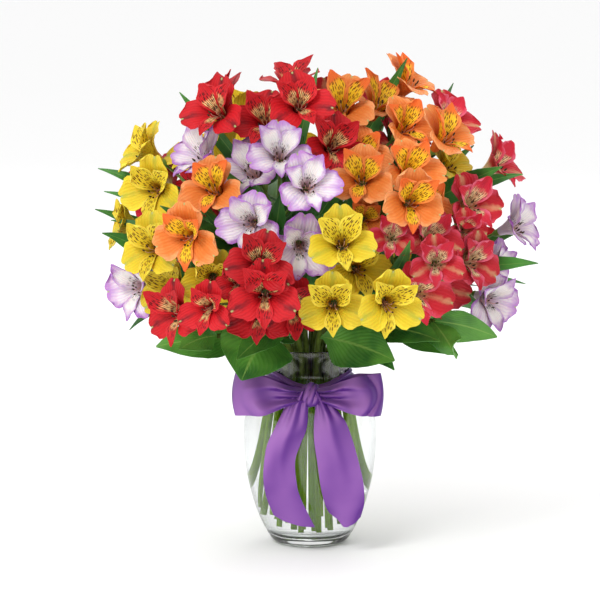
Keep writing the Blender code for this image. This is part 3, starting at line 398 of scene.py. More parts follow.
def dome_normal(point):
    out = point - DOME_CENTRE
    return Vector(o / (a * a) for o, a in zip(out, DOME_AXES)).normalized()


def bloom_frame(face, axis, size):
    """The matrix of a bloom: +Z faces out, +Y is the bloom's top, and the origin is its ovary."""
    side = UP.cross(axis).normalized() if abs(axis.z) < 0.98 else Vector((1, 0, 0))
    turn = Matrix((side, axis.cross(side), axis)).transposed().to_4x4()
    return Matrix.Translation(face - axis * FACE_HEIGHT * size) @ turn @ Matrix.Scale(size, 4)


def choices(u, v, side, middle):
    """The matrices that a bloom may take. Middle is the middle of its umbel's faces."""
    face = dome_point(u * MM, v * MM, side)
    normal = dome_normal(face)
    rise = max(normal.z, 0) * FACE_RISE + FACE_LIFT
    axis = Vector((normal.x * FACE_SPREAD, normal.y - side * FACE_TURN, rise))
    axis = (axis.normalized() + (face - middle) * FACE_FAN).normalized()
    found = []
    for size in BLOOM_SIZES:
        found += [bloom_frame(face - normal * step, axis, size) for step in BLOOM_STEPS]
    return found


def face_middle(umbel):
    _, _, side, places = umbel
    return mean(dome_point(u * MM, v * MM, side) for u, v in places)


def hub_of(umbel):
    """Where the pedicels of an umbel meet."""
    _, _, side, places = umbel
    middle = face_middle(umbel)
    bases = mean(choices(u, v, side, middle)[0].to_translation() for u, v in places)
    return bases + (CORE - bases).normalized() * HUB_DEPTH


def neck_places(hubs):
    """Where each stem passes the vase's neck."""
    places = []
    for hub in hubs:
        out = hub - CORE
        flat = Vector((out.x, out.y, 0))
        angle = atan2(flat.length, out.z)
        places.append(flat.normalized() * NECK_REACH * min(1.0, angle / NECK_TILT))
    for _ in range(NECK_ROUNDS):
        for a in range(len(places)):
            for b in range(a):
                apart = places[a] - places[b]
                short = NECK_SPACING - apart.length
                if short > 0:
                    push = apart.normalized() * short * 0.5
                    places[a] += push
                    places[b] -= push
        places = [p.normalized() * min(p.length, NECK_REACH) for p in places]
    return places


def stem_run(neck, top, lead, rise, sway, steps):
    """Points from a stem's cut foot in the vase, through the neck, up to its top."""
    share = neck.length / NECK_REACH
    foot = neck * FOOT_SPREAD + UP * (FOOT_LOW + FOOT_RAISE * share * share)
    waist = neck + UP * NECK_HEIGHT
    reach = (top - waist).length
    up = ((waist - foot).normalized() + UP).normalized()
    aside = lead.cross(UP).normalized() * sway
    controls = [waist, waist + up * reach * rise + aside, top - lead * reach * STEM_LEAD + aside, top]
    return [foot, waist, *(bezier(controls, step / steps) for step in range(1, steps + 1))]


def above_neck(path, share):
    """The point at this share of the stem's length above the neck."""
    path = path[1:]
    lengths = [(b - a).length for a, b in zip(path, path[1:])]
    left = share * sum(lengths)
    for a, b, length in zip(path, path[1:], lengths):
        if left <= length:
            return a.lerp(b, left / length)
        left -= length
    return path[-1]


def corners_of(node):
    """A search tree of a solid's corners."""
    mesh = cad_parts[node].data
    tree = KDTree(len(mesh.vertices))
    for vertex in mesh.vertices:
        tree.insert(vertex.co, vertex.index)
    tree.balance()
    return tree


def found_in(tree, points):
    """How many of the points are corners of the solid."""
    return sum(1 for point in points if tree.find(point)[2] < CORNER_REACH)


def place_blooms(umbel):
    """The matrices of the umbel's blooms, read off its solid."""
    name, _, side, places = umbel
    tree, middle = corners_of("umbel_" + name), face_middle(umbel)
    marks = [Vector((0, 0, CUP_FLOOR))]
    for kind, lean, opening in TEPALS:
        radius, height = SOLID_TIPS[kind]
        turn = radians(lean)
        out = radius * opening
        marks.append(Vector((-sin(turn) * out, cos(turn) * out, height)))
    picked = []
    for u, v in places:
        options = choices(u, v, side, middle)
        picked.append(max(options, key=lambda m: found_in(tree, [m @ mark for mark in marks])))
    return picked


def place_stem(name, neck, top, lead):
    """A stem's rise and sway, read off its solid."""
    tree = corners_of("stem_" + name)
    options = [(rise, sway) for sway in STEM_SWAYS for rise in STEM_RISES]

    def near(option):
        path = stem_run(neck, top, lead, *option, SOLID_STEPS)
        return sum(len(tree.find_range(point, STEM_FOOT_RADIUS)) for point in path[2:5])

    return max(options, key=near)


def leaf_frame(controls, t, tilt, shown=0.0):
    """A leaf's place, run, crosswise direction and upward direction at t. Shown turns its face
    towards the front, or towards the back where its tip is at the back."""
    tip = controls[-1]
    out = Vector((tip.x * LEAF_SIDEWAYS, tip.y, 0)).normalized()
    facing = UP * cos(tilt) + out * sin(tilt)
    facing.y += shown if tip.y > BEHIND else -shown
    run = (bezier(controls, t + 0.05) - bezier(controls, t - 0.05)).normalized()
    across = run.cross(facing).normalized()
    return bezier(controls, t), run, across, across.cross(run)


def place_leaf(tree, path, side, leaf):
    """A leaf's controls, half width, tilt and kind, read off its stem's solid, or nothing."""
    share, (u, v), depth, half, arch, tilt, *seen = leaf
    side = seen[0] if seen else side
    broad = half > BROAD_OVER
    root = above_neck(path, share)
    best, most = None, TOO_FEW
    for size in LEAF_SIZES:
        for deeper in LEAF_DEPTHS:
            tip = root.lerp(sight_point(u * MM, v * MM, depth * MM + deeper, side), size)
            if not found_in(tree, [tip]):
                continue
            for higher in LEAF_ARCHES:
                for turned_by in LEAF_TURNS:
                    tilted = radians(tilt) + turned_by
                    controls = [root, root.lerp(tip, 0.5) + UP * (arch * MM + higher), tip]
                    width, marks = half * MM * size, []
                    for t, part in BROAD_STATIONS if broad else LANCE_STATIONS:
                        point, _, across, up = leaf_frame(controls, t, tilted)
                        across, up = across * width * part, up * width * part * LEAF_CHANNEL
                        marks += [point - across + up, point - up, point + across + up]
                    count = found_in(tree, marks)
                    if count > most:
                        best = (controls, width, tilted, "broad" if broad else "lance")
                        most = count
    return best


# Shapes
def sweep(bm, points, radii, sides, slot):
    """A closed tapering bar: a ring drawn out from each point to the next, with both ends filled."""
    runs = [b - a for a, b in zip(points, points[1:])]
    runs = [runs[0], *((a + b) for a, b in zip(runs, runs[1:])), runs[-1]]
    aside = runs[0].orthogonal().normalized()
    places = []
    for point, run, radius in zip(points, runs, radii):
        run = run.normalized()
        aside = (aside - run * aside.dot(run)).normalized()
        turn = Matrix((aside, run.cross(aside), run)).transposed().to_4x4()
        places.append(Matrix.Translation(point) @ turn @ Matrix.Scale(radius, 4))
    ring = bmesh.ops.create_circle(bm, segments=sides, radius=1, matrix=places[0])["verts"]
    edges = list({edge for vertex in ring for edge in vertex.link_edges})
    faces = list(bmesh.ops.contextual_create(bm, geom=edges)["faces"])
    for before, after in zip(places, places[1:]):
        drawn = bmesh.ops.extrude_edge_only(bm, edges=edges)["geom"]
        edges = [g for g in drawn if isinstance(g, bmesh.types.BMEdge)]
        faces += [g for g in drawn if isinstance(g, bmesh.types.BMFace)]
        new = [g for g in drawn if isinstance(g, bmesh.types.BMVert)]
        bmesh.ops.transform(bm, matrix=after @ before.inverted(), verts=new)
    faces += bmesh.ops.contextual_create(bm, geom=edges)["faces"]
    for face in faces:
        face.material_index = slot


def sheet_grid(bm, across, along, slot, place):
    """A grid whose points are put where place(s, t) says, s from -1 to 1 across and t from 0 to 1
    along, with that as its UV map. Returns its faces."""
    uv = bm.loops.layers.uv.get("UVMap") or bm.loops.layers.uv.new("UVMap")
    made = bmesh.ops.create_grid(bm, x_segments=across, y_segments=along, size=1)["verts"]
    faces = list({face for vertex in made for face in vertex.link_faces})
    for face in faces:
        face.material_index = slot
        for loop in face.loops:
            loop[uv].uv = ((loop.vert.co.x + 1) / 2, (loop.vert.co.y + 1) / 2)
    for vertex in made:
        vertex.co = place(vertex.co.x, (vertex.co.y + 1) / 2)
    return faces


def thicken(bm, faces, thickness):
    """Gives a sheet of faces its thickness, straight down from each of its corners."""
    bm.normal_update()
    drawn = bmesh.ops.extrude_face_region(bm, geom=faces, use_keep_orig=True)["geom"]
    for part in drawn:
        if isinstance(part, bmesh.types.BMVert):
            part.co -= part.normal * thickness


def tepal(bm, kind, lean, opening, slot, scatter):
    """One tepal: a ruffled spoon on a narrow claw. The broad ones end in a notch, the others in a
    small point."""
    lean = radians(lean + scatter.gauss(0, 3.5))
    opening *= scatter.uniform(0.94, 1.06)
    drop = scatter.gauss(0, 0.0014)
    along = Vector((-sin(lean), cos(lean), 0))
    across = Vector((cos(lean), sin(lean), 0))
    controls = [Vector((radius, height, 0)) for radius, height in TEPAL_RUNS[kind]]
    controls[3].y += drop * 2
    controls[2].y += drop
    half = TEPAL_HALVES[kind] * scatter.uniform(0.93, 1.06)
    base_cup, tip_cup = TEPAL_CUPS[kind]
    corner, notch = TEPAL_ENDS[kind]
    phase, beat = scatter.uniform(0, tau), scatter.uniform(1.6, 2.8)
    curl = scatter.uniform(-0.6, 0.6) * CURL
    twist = scatter.uniform(-0.10, 0.10)

    def place(s, t):
        edge = abs(s)
        reach = t - (corner * edge**3 + notch * hump(s, NOTCH_WIDTH)) * t**5
        reach += 0.012 * t**5 * sin(phase * 3 + s * 5)
        middle = bezier(controls, reach)
        run = (bezier(controls, reach + 0.02) - bezier(controls, reach - 0.02)).normalized()
        inward = Vector((-run.y, run.x))
        width = half * between(TEPAL_WIDTHS[kind], t)
        cup = base_cup + (tip_cup - base_cup) * min(1.0, t * 1.35)
        blade = max(0.0, (t - BLADE_START) / (1 - BLADE_START))
        raised = cup * width * s * s + twist * width * s * blade
        wave = sin(phase + beat * tau * t + (2.0 if s > 0 else 0))
        raised += RUFFLE * blade * edge**2 * wave
        raised -= GROOVE * max(0.0, 1 - edge * 4) * blade
        raised -= curl * blade**3
        opened = min(1.0, max(0.0, (t - CLAW_END) / (OPENED - CLAW_END)))
        radius = middle.x * (1 + (opening - 1) * opened)
        out = along * (radius + inward.x * raised)
        return out + UP * (middle.y + inward.y * raised) + across * s * width

    return sheet_grid(bm, TEPAL_ACROSS, TEPAL_ALONG, slot, place)


def stamens(bm, scatter):
    """Filaments that arch down towards the lowest tepal and lift at their anthers."""
    for number in range(STAMENS):
        angle = tau * (number + 0.5) / STAMENS
        out = Vector((sin(angle), cos(angle), 0))
        reach = scatter.uniform(0.019, 0.027)
        points = [
            Vector((0, 0, 0.0075)) + out * 0.0014,
            Vector((0, -0.0016, 0.013)) + out * 0.0016,
            Vector((0, -0.0040, reach * 0.82)) + out * 0.0022,
            Vector((0, -0.0052, reach)) + out * 0.0036,
            Vector((0, -0.0040, reach + 0.0042)) + out * 0.0048,
        ]
        sweep(bm, points, FILAMENT_RADII, FILAMENT_SIDES, FILAMENT)
        aim = (points[-1] - points[-2]).to_track_quat("Z", "Y").to_matrix().to_4x4()
        shape = Matrix.Translation(points[-1]) @ aim @ Matrix.Diagonal((0.0009, 0.0007, 0.0021, 1))
        made = bmesh.ops.create_icosphere(bm, subdivisions=1, radius=1, matrix=shape)["verts"]
        for face in {face for vertex in made for face in vertex.link_faces}:
            face.material_index = ANTHER


def make_bloom(bm, matrix, hub, scatter, tone_layer):
    """A bloom in its place: six tepals, stamens, the ovary and the pedicel down to the hub."""
    known = len(bm.verts)
    faces = []
    open_share = scatter.uniform(0.88, 1.05)
    for kind, lean, opening in TEPALS:
        slot = OUTER_TEPAL if kind == "outer" else INNER_TEPAL
        faces += tepal(bm, kind, lean, opening * open_share, slot, scatter)
    thicken(bm, faces, TEPAL_THICK)
    stamens(bm, scatter)
    roll = Matrix.Rotation(radians(scatter.uniform(-16, 16)), 4, "Z")
    lean = radians(scatter.gauss(0, 4))
    nod = Matrix.Rotation(lean, 4, (scatter.random(), scatter.random(), 0.01))
    bmesh.ops.transform(bm, matrix=matrix @ nod @ roll, verts=list(bm.verts)[known:])
    base = matrix.to_translation()
    axis = (matrix.to_3x3() @ UP).normalized()
    size = matrix.to_scale().x
    reach = (base - hub).length
    controls = [base, base - axis * reach * 0.45, hub.lerp(base, 0.2), hub]
    points = [base + axis * height * size for height, _ in OVARY]
    radii = [radius * size for _, radius in OVARY]
    for number in range(PEDICEL_STEPS + 1):
        t = number / PEDICEL_STEPS
        points.append(bezier(controls, t))
        radii.append(PEDICEL_RADIUS + PEDICEL_SWELL * t**2)
    sweep(bm, points, radii, PEDICEL_SIDES, PEDICEL)
    tone = scatter.random()
    for vertex in list(bm.verts)[known:]:
        vertex[tone_layer] = tone


def leaf_blade(bm, controls, half, tilt, kind, slot, scatter):
    """A leaf along its controls, channelled, a little wavy, and curled over at its tip."""
    growth, widths, wave, segments, (edges, midrib), shown = LEAF_KINDS[kind]
    half *= growth
    phase = scatter.uniform(0, tau)
    length = (controls[-1] - controls[0]).length
    droop = scatter.uniform(0.01, 0.05) * length

    def place(s, t):
        point, _, across, up = leaf_frame(controls, t, tilt, shown)
        width = half * between(widths, t)
        ripple = sin(phase + t * 9) * sin(pi * min(1, t * 1.1))
        lift = width * (abs(s) * edges + midrib) + wave * half * s * abs(s) * ripple
        lift -= droop * max(0.0, t - 0.82) ** 2 * 12
        return point + across * s * width + up * lift

    thicken(bm, sheet_grid(bm, *segments, slot, place), LEAF_THICK)


def new_piece(name, bm, materials, node):
    """The finished mesh as a piece that stands for this solid."""
    bmesh.ops.recalc_face_normals(bm, faces=bm.faces)
    mesh = bpy.data.meshes.new(name)
    bm.to_mesh(mesh)
    bm.free()
    mesh.shade_smooth()
    mesh.set_sharp_from_angle(angle=SHARP_ANGLE)
    for finish in materials:
        mesh.materials.append(finish)
    piece = placed(name, mesh)
    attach(piece, "root")
    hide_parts(node)
    return piece


def make_umbel(umbel, matrices, hub, lead, finishes):
    """An umbel: its blooms on their pedicels, and the whorl of small leaves round the hub."""
    name, kind, _, _ = umbel
    scatter = random.Random(name)
    bm = bmesh.new()
    tone_layer = bm.verts.layers.float.new("tone")
    for matrix in matrices:
        make_bloom(bm, matrix, hub, scatter, tone_layer)
    rings = [hub + lead * z for z, _ in KNUCKLE]
    sweep(bm, rings, [radius for _, radius in KNUCKLE], STEM_SIDES, PEDICEL)
    turn = lead.orthogonal().normalized()
    for number in range(BRACTS):
        angle = tau * (number + scatter.random() * 0.6) / BRACTS
        out = Matrix.Rotation(angle, 3, lead) @ turn
        length = scatter.uniform(0.026, 0.042)
        rise = scatter.uniform(0.5, 0.9)
        middle, tip = (out + lead * 0.2) * length * 0.5, (out * 0.8 + lead * rise) * length
        controls = [hub, hub + middle, hub + tip]
        leaf_blade(bm, controls, length * 0.14, BRACT_TILT, "small", BRACT, scatter)
    new_piece("bloom_head_" + name, bm, finishes, "umbel_" + name)


def inner_leaves(path, scatter):
    """Small leaves on the hidden part of a stem, which darken the gaps between the blooms."""
    found = []
    for number in range(INNER_LEAVES):
        share = 0.34 + 0.12 * number + scatter.uniform(-0.04, 0.04)
        root, ahead = above_neck(path, share), above_neck(path, min(1.0, share + 0.05))
        run = (ahead - root).normalized()
        out = Matrix.Rotation(scatter.uniform(0, tau), 3, run) @ run.orthogonal().normalized()
        length = scatter.uniform(0.036, 0.052)
        tip = root + (run * 0.75 + out * 0.62) * length
        middle = root + (run * 0.25 + out * 0.55) * length
        found.append(([root, middle, tip], length * 0.15, scatter.uniform(0, 1.2), "small"))
    return found


def make_stem(name, path, leaves, greens):
    """A stem with its leaves."""
    scatter = random.Random(name)
    bm = bmesh.new()
    foot, waist = path[0], path[1]
    points = [foot, *(foot.lerp(waist, share) for share in (0.25, 0.5, 0.75)), *path[1:]]
    taper = STEM_TOP_RADIUS - STEM_FOOT_RADIUS
    radii = [STEM_FOOT_RADIUS + taper * n / (len(points) - 1) for n in range(len(points))]
    radii[: len(WET_RADII)] = WET_RADII
    sweep(bm, points, radii, STEM_SIDES, STEM)
    for leaf in leaves:
        leaf_blade(bm, *leaf, BROAD_LEAF if leaf[-1] == "broad" else NARROW_LEAF, scatter)
    if not name.startswith("spray"):
        for leaf in inner_leaves(path, scatter):
            leaf_blade(bm, *leaf, NARROW_LEAF, scatter)
    new_piece("leafy_stem_" + name, bm, greens, "stem_" + name)


def vase_outline(steps):
    """The vase's outer (radius, height) from foot to rim, rounded through its stations."""
    stations = [(FOOT_RADIUS, 0.0), *((radius, height) for height, radius in VASE_OUTLINE)]
    points = [Vector(station) for station in stations]
    ends = [points[0] * 2 - points[1], *points, points[-1] * 2 - points[-2]]
    found = []
    for four in zip(ends, ends[1:], ends[2:], ends[3:]):
        found += [curve_between(*four, step / steps) for step in range(steps)]
    return [(point.x, point.y) for point in (*found, points[-1])]


VASE_CURVE = vase_outline(6)


def outer_radius(height):
    """The vase's outer radius at a height."""
    return between([(h, r) for r, h in VASE_CURVE], height)


def turned(name, profile, finish, node):
    """A piece spun about the vertical axis from its (radius, height) profile."""
    bm = bmesh.new()
    verts = [bm.verts.new((radius, 0, height)) for radius, height in profile]
    edges = [bm.edges.new(pair) for pair in zip(verts, verts[1:])]
    spun = {"cent": (0, 0, 0), "axis": UP, "angle": tau, "steps": TURN_STEPS, "use_merge": True}
    bmesh.ops.spin(bm, geom=[*verts, *edges], **spun)
    bmesh.ops.remove_doubles(bm, verts=bm.verts, dist=1e-6)
    new_piece(name, bm, [finish], node)


def make_vase(finish):
    """The vase's outside, a rounded rim, and its inside down to the floor."""
    inner = [(r - GLASS, h) for r, h in VASE_CURVE if h > GLASS_FLOOR + WALL_START]
    floor = [(r, GLASS_FLOOR + h) for r, h in FLOOR_RISE]
    top_r, top_h = VASE_CURVE[-1]
    rim = []
    for step in range(1, 10):
        turn = pi * step / 10
        away = GLASS / 2 * (cos(turn) - 1)
        rim.append((top_r + away, top_h + RIM_ROUND * sin(turn)))
    profile = [*FOOT_HOLLOW, *VASE_CURVE[2:], *rim, *reversed(inner), *reversed(floor)]
    turned("glass_vase_clear", profile, finish, "glass_vase")


def make_water(finish):
    """The water reaches a hair into the glass, so that no film of air shows between them."""
    low, high = GLASS_FLOOR + WALL_START, WATER_LEVEL - 0.001
    floor = [(r, GLASS_FLOOR - WATER_IN_GLASS + h) for r, h in FLOOR_RISE]
    floor[-1] = (floor[-1][0] + WATER_IN_GLASS, floor[-1][1])
    wall = [(r - GLASS + WATER_IN_GLASS, h) for r, h in VASE_CURVE if low < h < high]
    edge = outer_radius(WATER_LEVEL) - GLASS + WATER_IN_GLASS
    level = [(edge, WATER_LEVEL), (edge - MENISCUS[0], WATER_LEVEL - MENISCUS[1])]
    level.append((0, WATER_LEVEL - WATER_MIDDLE))
    turned("vase_water", [*floor, *wall, *level], finish, "water")


# Finishes: what a mix of colours says, with its output, and a ramp with soft ends
COLOURS = {"out": 2, "data_type": "RGBA"}
SMOOTH = {"interpolation_type": "SMOOTHSTEP"}


def painted(tree, ground, layers):
    """A colour with layers over it. Each has its own colour, and smooth ramps that are multiplied
    for how much of it shows: a value, its start and end, and the shares at these, or else 0 and 1."""
    for code, ramps in layers:
        share = 1.0
        for ramp in ramps:
            step = add(tree, "MapRange", ramp, **SMOOTH)
            share = add(tree, "Math", [share, step], operation="MULTIPLY")
        ground = add(tree, "Mix", {0: share, 6: ground, 7: colour(code)}, **COLOURS)
    return ground


def sheet_places(tree):
    """A sheet's UV map, the places across and along it, and how far off its middle line."""
    place = add(tree, "UVMap", uv_map="UVMap")
    u = add(tree, "SeparateXYZ", [place])
    off = add(tree, "Math", [u, 0.5], operation="SUBTRACT")
    return place, u, u.node.outputs[1], add(tree, "Math", [off], operation="ABSOLUTE")


def waves(tree, place, count, shift=0.0):
    """Even ripples as the place goes from 0 to 1, this many of them."""
    angle = add(tree, "Math", [place, tau * count, shift], operation="MULTIPLY_ADD")
    return add(tree, "Math", [angle], operation="SINE")


def mottled(tree, scale, detail=3.0):
    """Soft patches that stay with the piece, about 1 / scale metres across."""
    here = add(tree, "TexCoord", out="Object")
    return add(tree, "TexNoise", {"Vector": here, "Scale": scale, "Detail": detail})


def tepal_finish(name, run, rim, midrib, veins, patch, dashes):
    """A living petal, soft and a little translucent. Its colour runs from throat to tip, fine
    veins fan out along it, and dashes about 0.8 mm wide lie between them."""
    made, tree = finish_of(
        name, Roughness=0.55, Specular_IOR_Level=0.22, Subsurface_Weight=0.12, Subsurface_Scale=0.002
    )
    place, u, v, side = sheet_places(tree)
    cloud = mottled(tree, 180.0, 2.0)
    # The colours' edges wander by up to an eighth of the tepal
    spread = add(tree, "Math", [cloud, 0.24, -0.12], operation="MULTIPLY_ADD")
    along = add(tree, "Math", [v, spread], operation="ADD")
    beside = add(tree, "Math", [side, spread], operation="ADD")
    # Veins, eleven to a tepal's width
    strand = waves(tree, u, 11, add(tree, "Math", [cloud, 5.0], operation="MULTIPLY"))
    throat, blade, tip = run
    layers = [(blade, [(along, 0.16, 0.48)]), (tip, [(along, 0.70, 1.0)])]
    if patch:
        shade, reach, at_veins = patch
        area = [(along, reach, reach + 0.16, 1.0, 0.0), (beside, 0.30, 0.44, 1.0, 0.0)]
        layers.append((shade, [*area, (strand, -0.3, 0.6, 1.0, at_veins), (v, 0.12, 0.25)]))
    layers += [
        (veins[0], [(strand, 0.1, 1.0), (v, 0.15, 0.6, veins[1], veins[1] * 0.6)]),
        (rim[0], [(beside, 0.28, 0.50), (v, 0.25, 0.6, 0.0, rim[1])]),
        (midrib[0], [(beside, 0.0, 0.14, 1.0, 0.0), (v, 0.35, 0.95, 0.15, midrib[1])]),
    ]
    if dashes:
        shade, start, end = dashes
        cells = add(tree, "VectorMath", [place, (13.0, 6.5, 1.0)], operation="MULTIPLY")
        facts = {"Vector": cells, "Scale": 1.0, "Randomness": 0.8}
        speck = add(tree, "TexVoronoi", facts, voronoi_dimensions="2D")
        band = [(along, start, start + 0.1), (along, end, end + 0.1, 1.0, 0.0)]
        fleck = [(speck, 0.22, 0.33, 0.95, 0.0), (side, 0.36, 0.46, 1.0, 0.0)]
        layers.append((shade, [*fleck, *band]))
    else:
        # A pale green spot in the notch
        layers.append(("#a8b070", [(side, 0.015, 0.05, 0.9, 0.0), (v, 0.92, 0.97)]))
    shown = painted(tree, colour(throat), layers)
    # Each bloom is a little lighter or darker than the next
    tone = add(tree, "Attribute", out="Fac", attribute_name="tone")
    bright = add(tree, "Math", [tone, 0.26, 0.82], operation="MULTIPLY_ADD")
    shown = add(tree, "HueSaturation", {"Value": bright, "Color": shown})
    return covered(made, shown, strand, 0.3, 0.0006)


def plain_finish(name, light, dark, roughness):
    """A living stalk, filament or anther: smooth, faintly mottled over a few millimetres."""
    made, tree = finish_of(name, Roughness=roughness, Specular_IOR_Level=0.35)
    facts = {0: mottled(tree, 90.0), 6: colour(dark), 7: colour(light)}
    return covered(made, add(tree, "Mix", facts, **COLOURS))


def stem_finish():
    """A living stem, smooth. Low down, up to about the water line, it is a lit copy of its green,
    painted bright yellow-green as painted light where the glass keeps the lamps off it; higher up
    it is a shaded copy, painted dull dark green as painted shade of the leaves above."""
    made, tree = finish_of("alstroemeria_stem", Roughness=0.5, Specular_IOR_Level=0.12)
    height = add(tree, "SeparateXYZ", [add(tree, "TexCoord", out="Object")], 2)
    cloud = mottled(tree, 60.0)
    # Lit and shaded copies of the stem's green: painted light low down, painted shade above
    painted_lit_green, painted_shade_green = (
        add(tree, "Mix", {0: cloud, 6: colour(dark), 7: colour(light)}, **COLOURS)
        for dark, light in (("#7cb404", "#a8d80c"), ("#26340e", "#6c8030"))
    )
    # Painted shade takes over from 118 mm to 152 mm above the floor
    climb = add(tree, "MapRange", [height, 0.118, 0.152], **SMOOTH)
    return covered(made, add(tree, "Mix", {0: climb, 6: painted_lit_green, 7: painted_shade_green}, **COLOURS))


def leaf_finish(name, light, dark, rib, roughness):
    """A living leaf with a pale midrib, and fine veins that leave it forwards, about twelve to the
    leaf."""
    made, tree = finish_of(name, Roughness=roughness, Specular_IOR_Level=0.35)
    _, _, v, side = sheet_places(tree)
    broad = add(tree, "MapRange", [mottled(tree, 28.0), 0.35, 0.65])
    shown = add(tree, "Mix", {0: broad, 6: colour(dark), 7: colour(light)}, **COLOURS)
    strand = waves(tree, add(tree, "Math", [side, -1.1, v], operation="MULTIPLY_ADD"), 12)
    layers = [(rib, [(strand, 0.86, 1.0, 0.0, 0.16)]), (rib, [(side, 0.012, 0.035, 0.7, 0.0)])]
    return covered(made, painted(tree, shown, layers), strand, 0.16, 0.0008)


def make_finishes():
    """The tepals' finishes by colour, those of an umbel's other parts, those of a leafy stem, and
    the glass and the water."""
    tepals = {}
    for name, look in TEPAL_LOOKS.items():
        tepals.setdefault(name.split("_")[0], []).append(tepal_finish(name + "_tepal", *look))
    heads = [
        plain_finish("pale_filament", "#e0b8a0", "#c88878", 0.5),
        plain_finish("dark_anther", "#4a3a22", "#2c1a18", 0.8),
        plain_finish("green_pedicel", "#7c9a44", "#56782c", 0.5),
        leaf_finish("alstroemeria_bract", "#3f7a2c", "#1f4c1c", "#7aa04e", 0.45),
    ]
    stems = [
        stem_finish(),
        leaf_finish("alstroemeria_leaf", "#4c8f3a", "#265a24", "#7aa650", 0.42),
        leaf_finish("broad_foliage_leaf", "#5f9c3a", "#286022", "#86ae52", 0.36),
    ]
    # Blown glass and still water are smooth, so they show only in reflections, and the glass as
    # soft grey edges where it is seen edge on
    clear = {"Base_Color": colour("#ffffff"), "Roughness": 0.0, "Transmission_Weight": 1.0}
    glass, tree = finish_of("clear_soda_lime_glass", IOR=1.5, Specular_IOR_Level=0.3, **clear)
    turn = add(tree, "LayerWeight", {"Blend": 0.25}, "Facing")
    covered(glass, add(tree, "Mix", {0: turn, 6: colour("#ffffff"), 7: colour("#aab8b6")}, **COLOURS))
    water, _ = finish_of("clear_water", IOR=1.333, Specular_IOR_Level=0.2, **clear)
    return tepals, heads, stems, glass, water


def make_satin():
    """Polyester satin: its long threads give broad soft highlights from the lamps, and its colour adds
    painted highlights where it faces the key light and painted shade in folds that turn away. The
    threads, 0.2 mm apart on the real one, are drawn 0.6 mm apart to show."""
    made, tree = finish_of(
        "purple_polyester_satin", Roughness=0.36, Specular_IOR_Level=0.5, Sheen_Weight=0.2,
        Sheen_Roughness=0.4, Specular_Tint=colour("#e0c4f4"), Sheen_Tint=colour("#c8a0ea"),
    )
    # Painted highlight: its folds are painted light lilac where they face up and to the left, towards the
    # key light, and painted deep violet shade where they turn away, front and back alike
    normal = add(tree, "NewGeometry", out="Normal")
    level = add(tree, "Math", [add(tree, "SeparateXYZ", [normal], 1)], operation="ABSOLUTE")
    facing = add(tree, "VectorMath", [normal, (-0.50, 0.0, 0.56)], "Value", operation="DOT_PRODUCT")
    facing = add(tree, "Math", [level, 0.66, facing], operation="MULTIPLY_ADD")
    painted_highlight = add(tree, "Math", [mottled(tree, 40.0, 1.0), 0.16, facing], operation="MULTIPLY_ADD")
    shown = painted(tree, colour("#5c2a84"), [("#9b67b0", [(painted_highlight, 0.38, 1.06)])])
    # Painted shade: deep violet where the satin is seen edge on
    turn = add(tree, "LayerWeight", {"Blend": 0.30}, "Facing")
    shown = add(tree, "Mix", {0: turn, 6: shown, 7: colour("#4a2078")}, **COLOURS)
    return covered(made, shown, waves(tree, sheet_places(tree)[1], 64), 0.10, 0.0002)


# The ribbon
RIBBON_WIDTH, RIBBON_THICK = 0.038, 0.0005
KNOT, KNOT_SLOPE = Vector((0.001, -0.0530, 0.1432)), radians(42)
KNOT_SIZE, KNOT_PLEAT = (0.0090, 0.0072, 0.0122), 0.26
# The band: its middle's height, half width, how far it dips to the knot, and how far off the glass
BAND_HEIGHT, BAND_HALF, BAND_DIP, BAND_OFF = 0.1520, 0.0072, 0.0072, 0.0018
LOOP_SEGMENTS, TAIL_SEGMENTS, BAND_SEGMENTS = (24, 110), (24, 56), (28, 96)
# A loop: the ribbon in its turn, its slope across, how far its front and back stand off its middle,
# where it leaves the knot, and half its width there
LOOP_TURN, LOOP_LEAN, LOOP_FRONT, LOOP_BACK = 0.03, 0.35, 0.0110, 0.0050
LOOP_ROOT, LOOP_GATHER = 0.004, 0.0066
# Tails: the (u, v) of the left and the right edge, and the depth, in millimetres
LEFT_TAIL = [
    ((-11, 138), (-2, 139), -54),
    ((-20.5, 126), (-1.8, 126), -58),
    ((-31, 105), (-3, 104), -62.5),
    ((-38.5, 89), (-8, 90), -64.5),
    ((-41.6, 72), (-13.3, 74), -65),
    ((-42.2, 55), (-12.3, 55), -64.5),
    ((-39.4, 39.5), (-8.5, 39.5), -62.5),
    ((-33.1, 23.3), (4.5, 12.3), -60),
]
RIGHT_TAIL = [
    ((2, 138), (10, 139), -54),
    ((5.1, 124), (19.8, 126), -58),
    ((3.9, 109), (31.8, 110), -62.5),
    ((3.9, 92.7), (38.5, 93), -64.5),
    ((6.8, 72), (44.5, 72), -65),
    ((9.6, 51), (48.8, 52), -64.5),
    ((13.6, 34), (49.4, 35), -62.5),
    ((17.6, 25.7), (46.1, 22.2), -60),
]
# How far the cut end hangs under the line from corner to corner, in metres
LEFT_CUT = [(-1, 0), (-0.5, 0.0026), (0.3, 0.0024), (1, 0)]
RIGHT_CUT = [(-1, 0), (-0.45, 0.005), (-0.1, 0.0110), (0.15, 0.0108), (0.65, 0.0062), (1, 0)]


def smooth_at(stations, t):
    """A point on the smooth curve through the stations, at t from 0 to 1."""
    place = t * (len(stations) - 1)
    first = min(int(place), len(stations) - 2)
    t = place - first
    p1, p2 = stations[first], stations[first + 1]
    p0 = stations[first - 1] if first else p1 * 2 - p2
    p3 = stations[first + 2] if first + 2 < len(stations) else p2 * 2 - p1
    return curve_between(p0, p1, p2, p3, t)


def ribbon_piece(name, satin, place, segments):
    bm = bmesh.new()
    thicken(bm, sheet_grid(bm, *segments, 0, place), RIBBON_THICK)
    piece = new_piece(name, bm, [satin], "ribbon_bow")


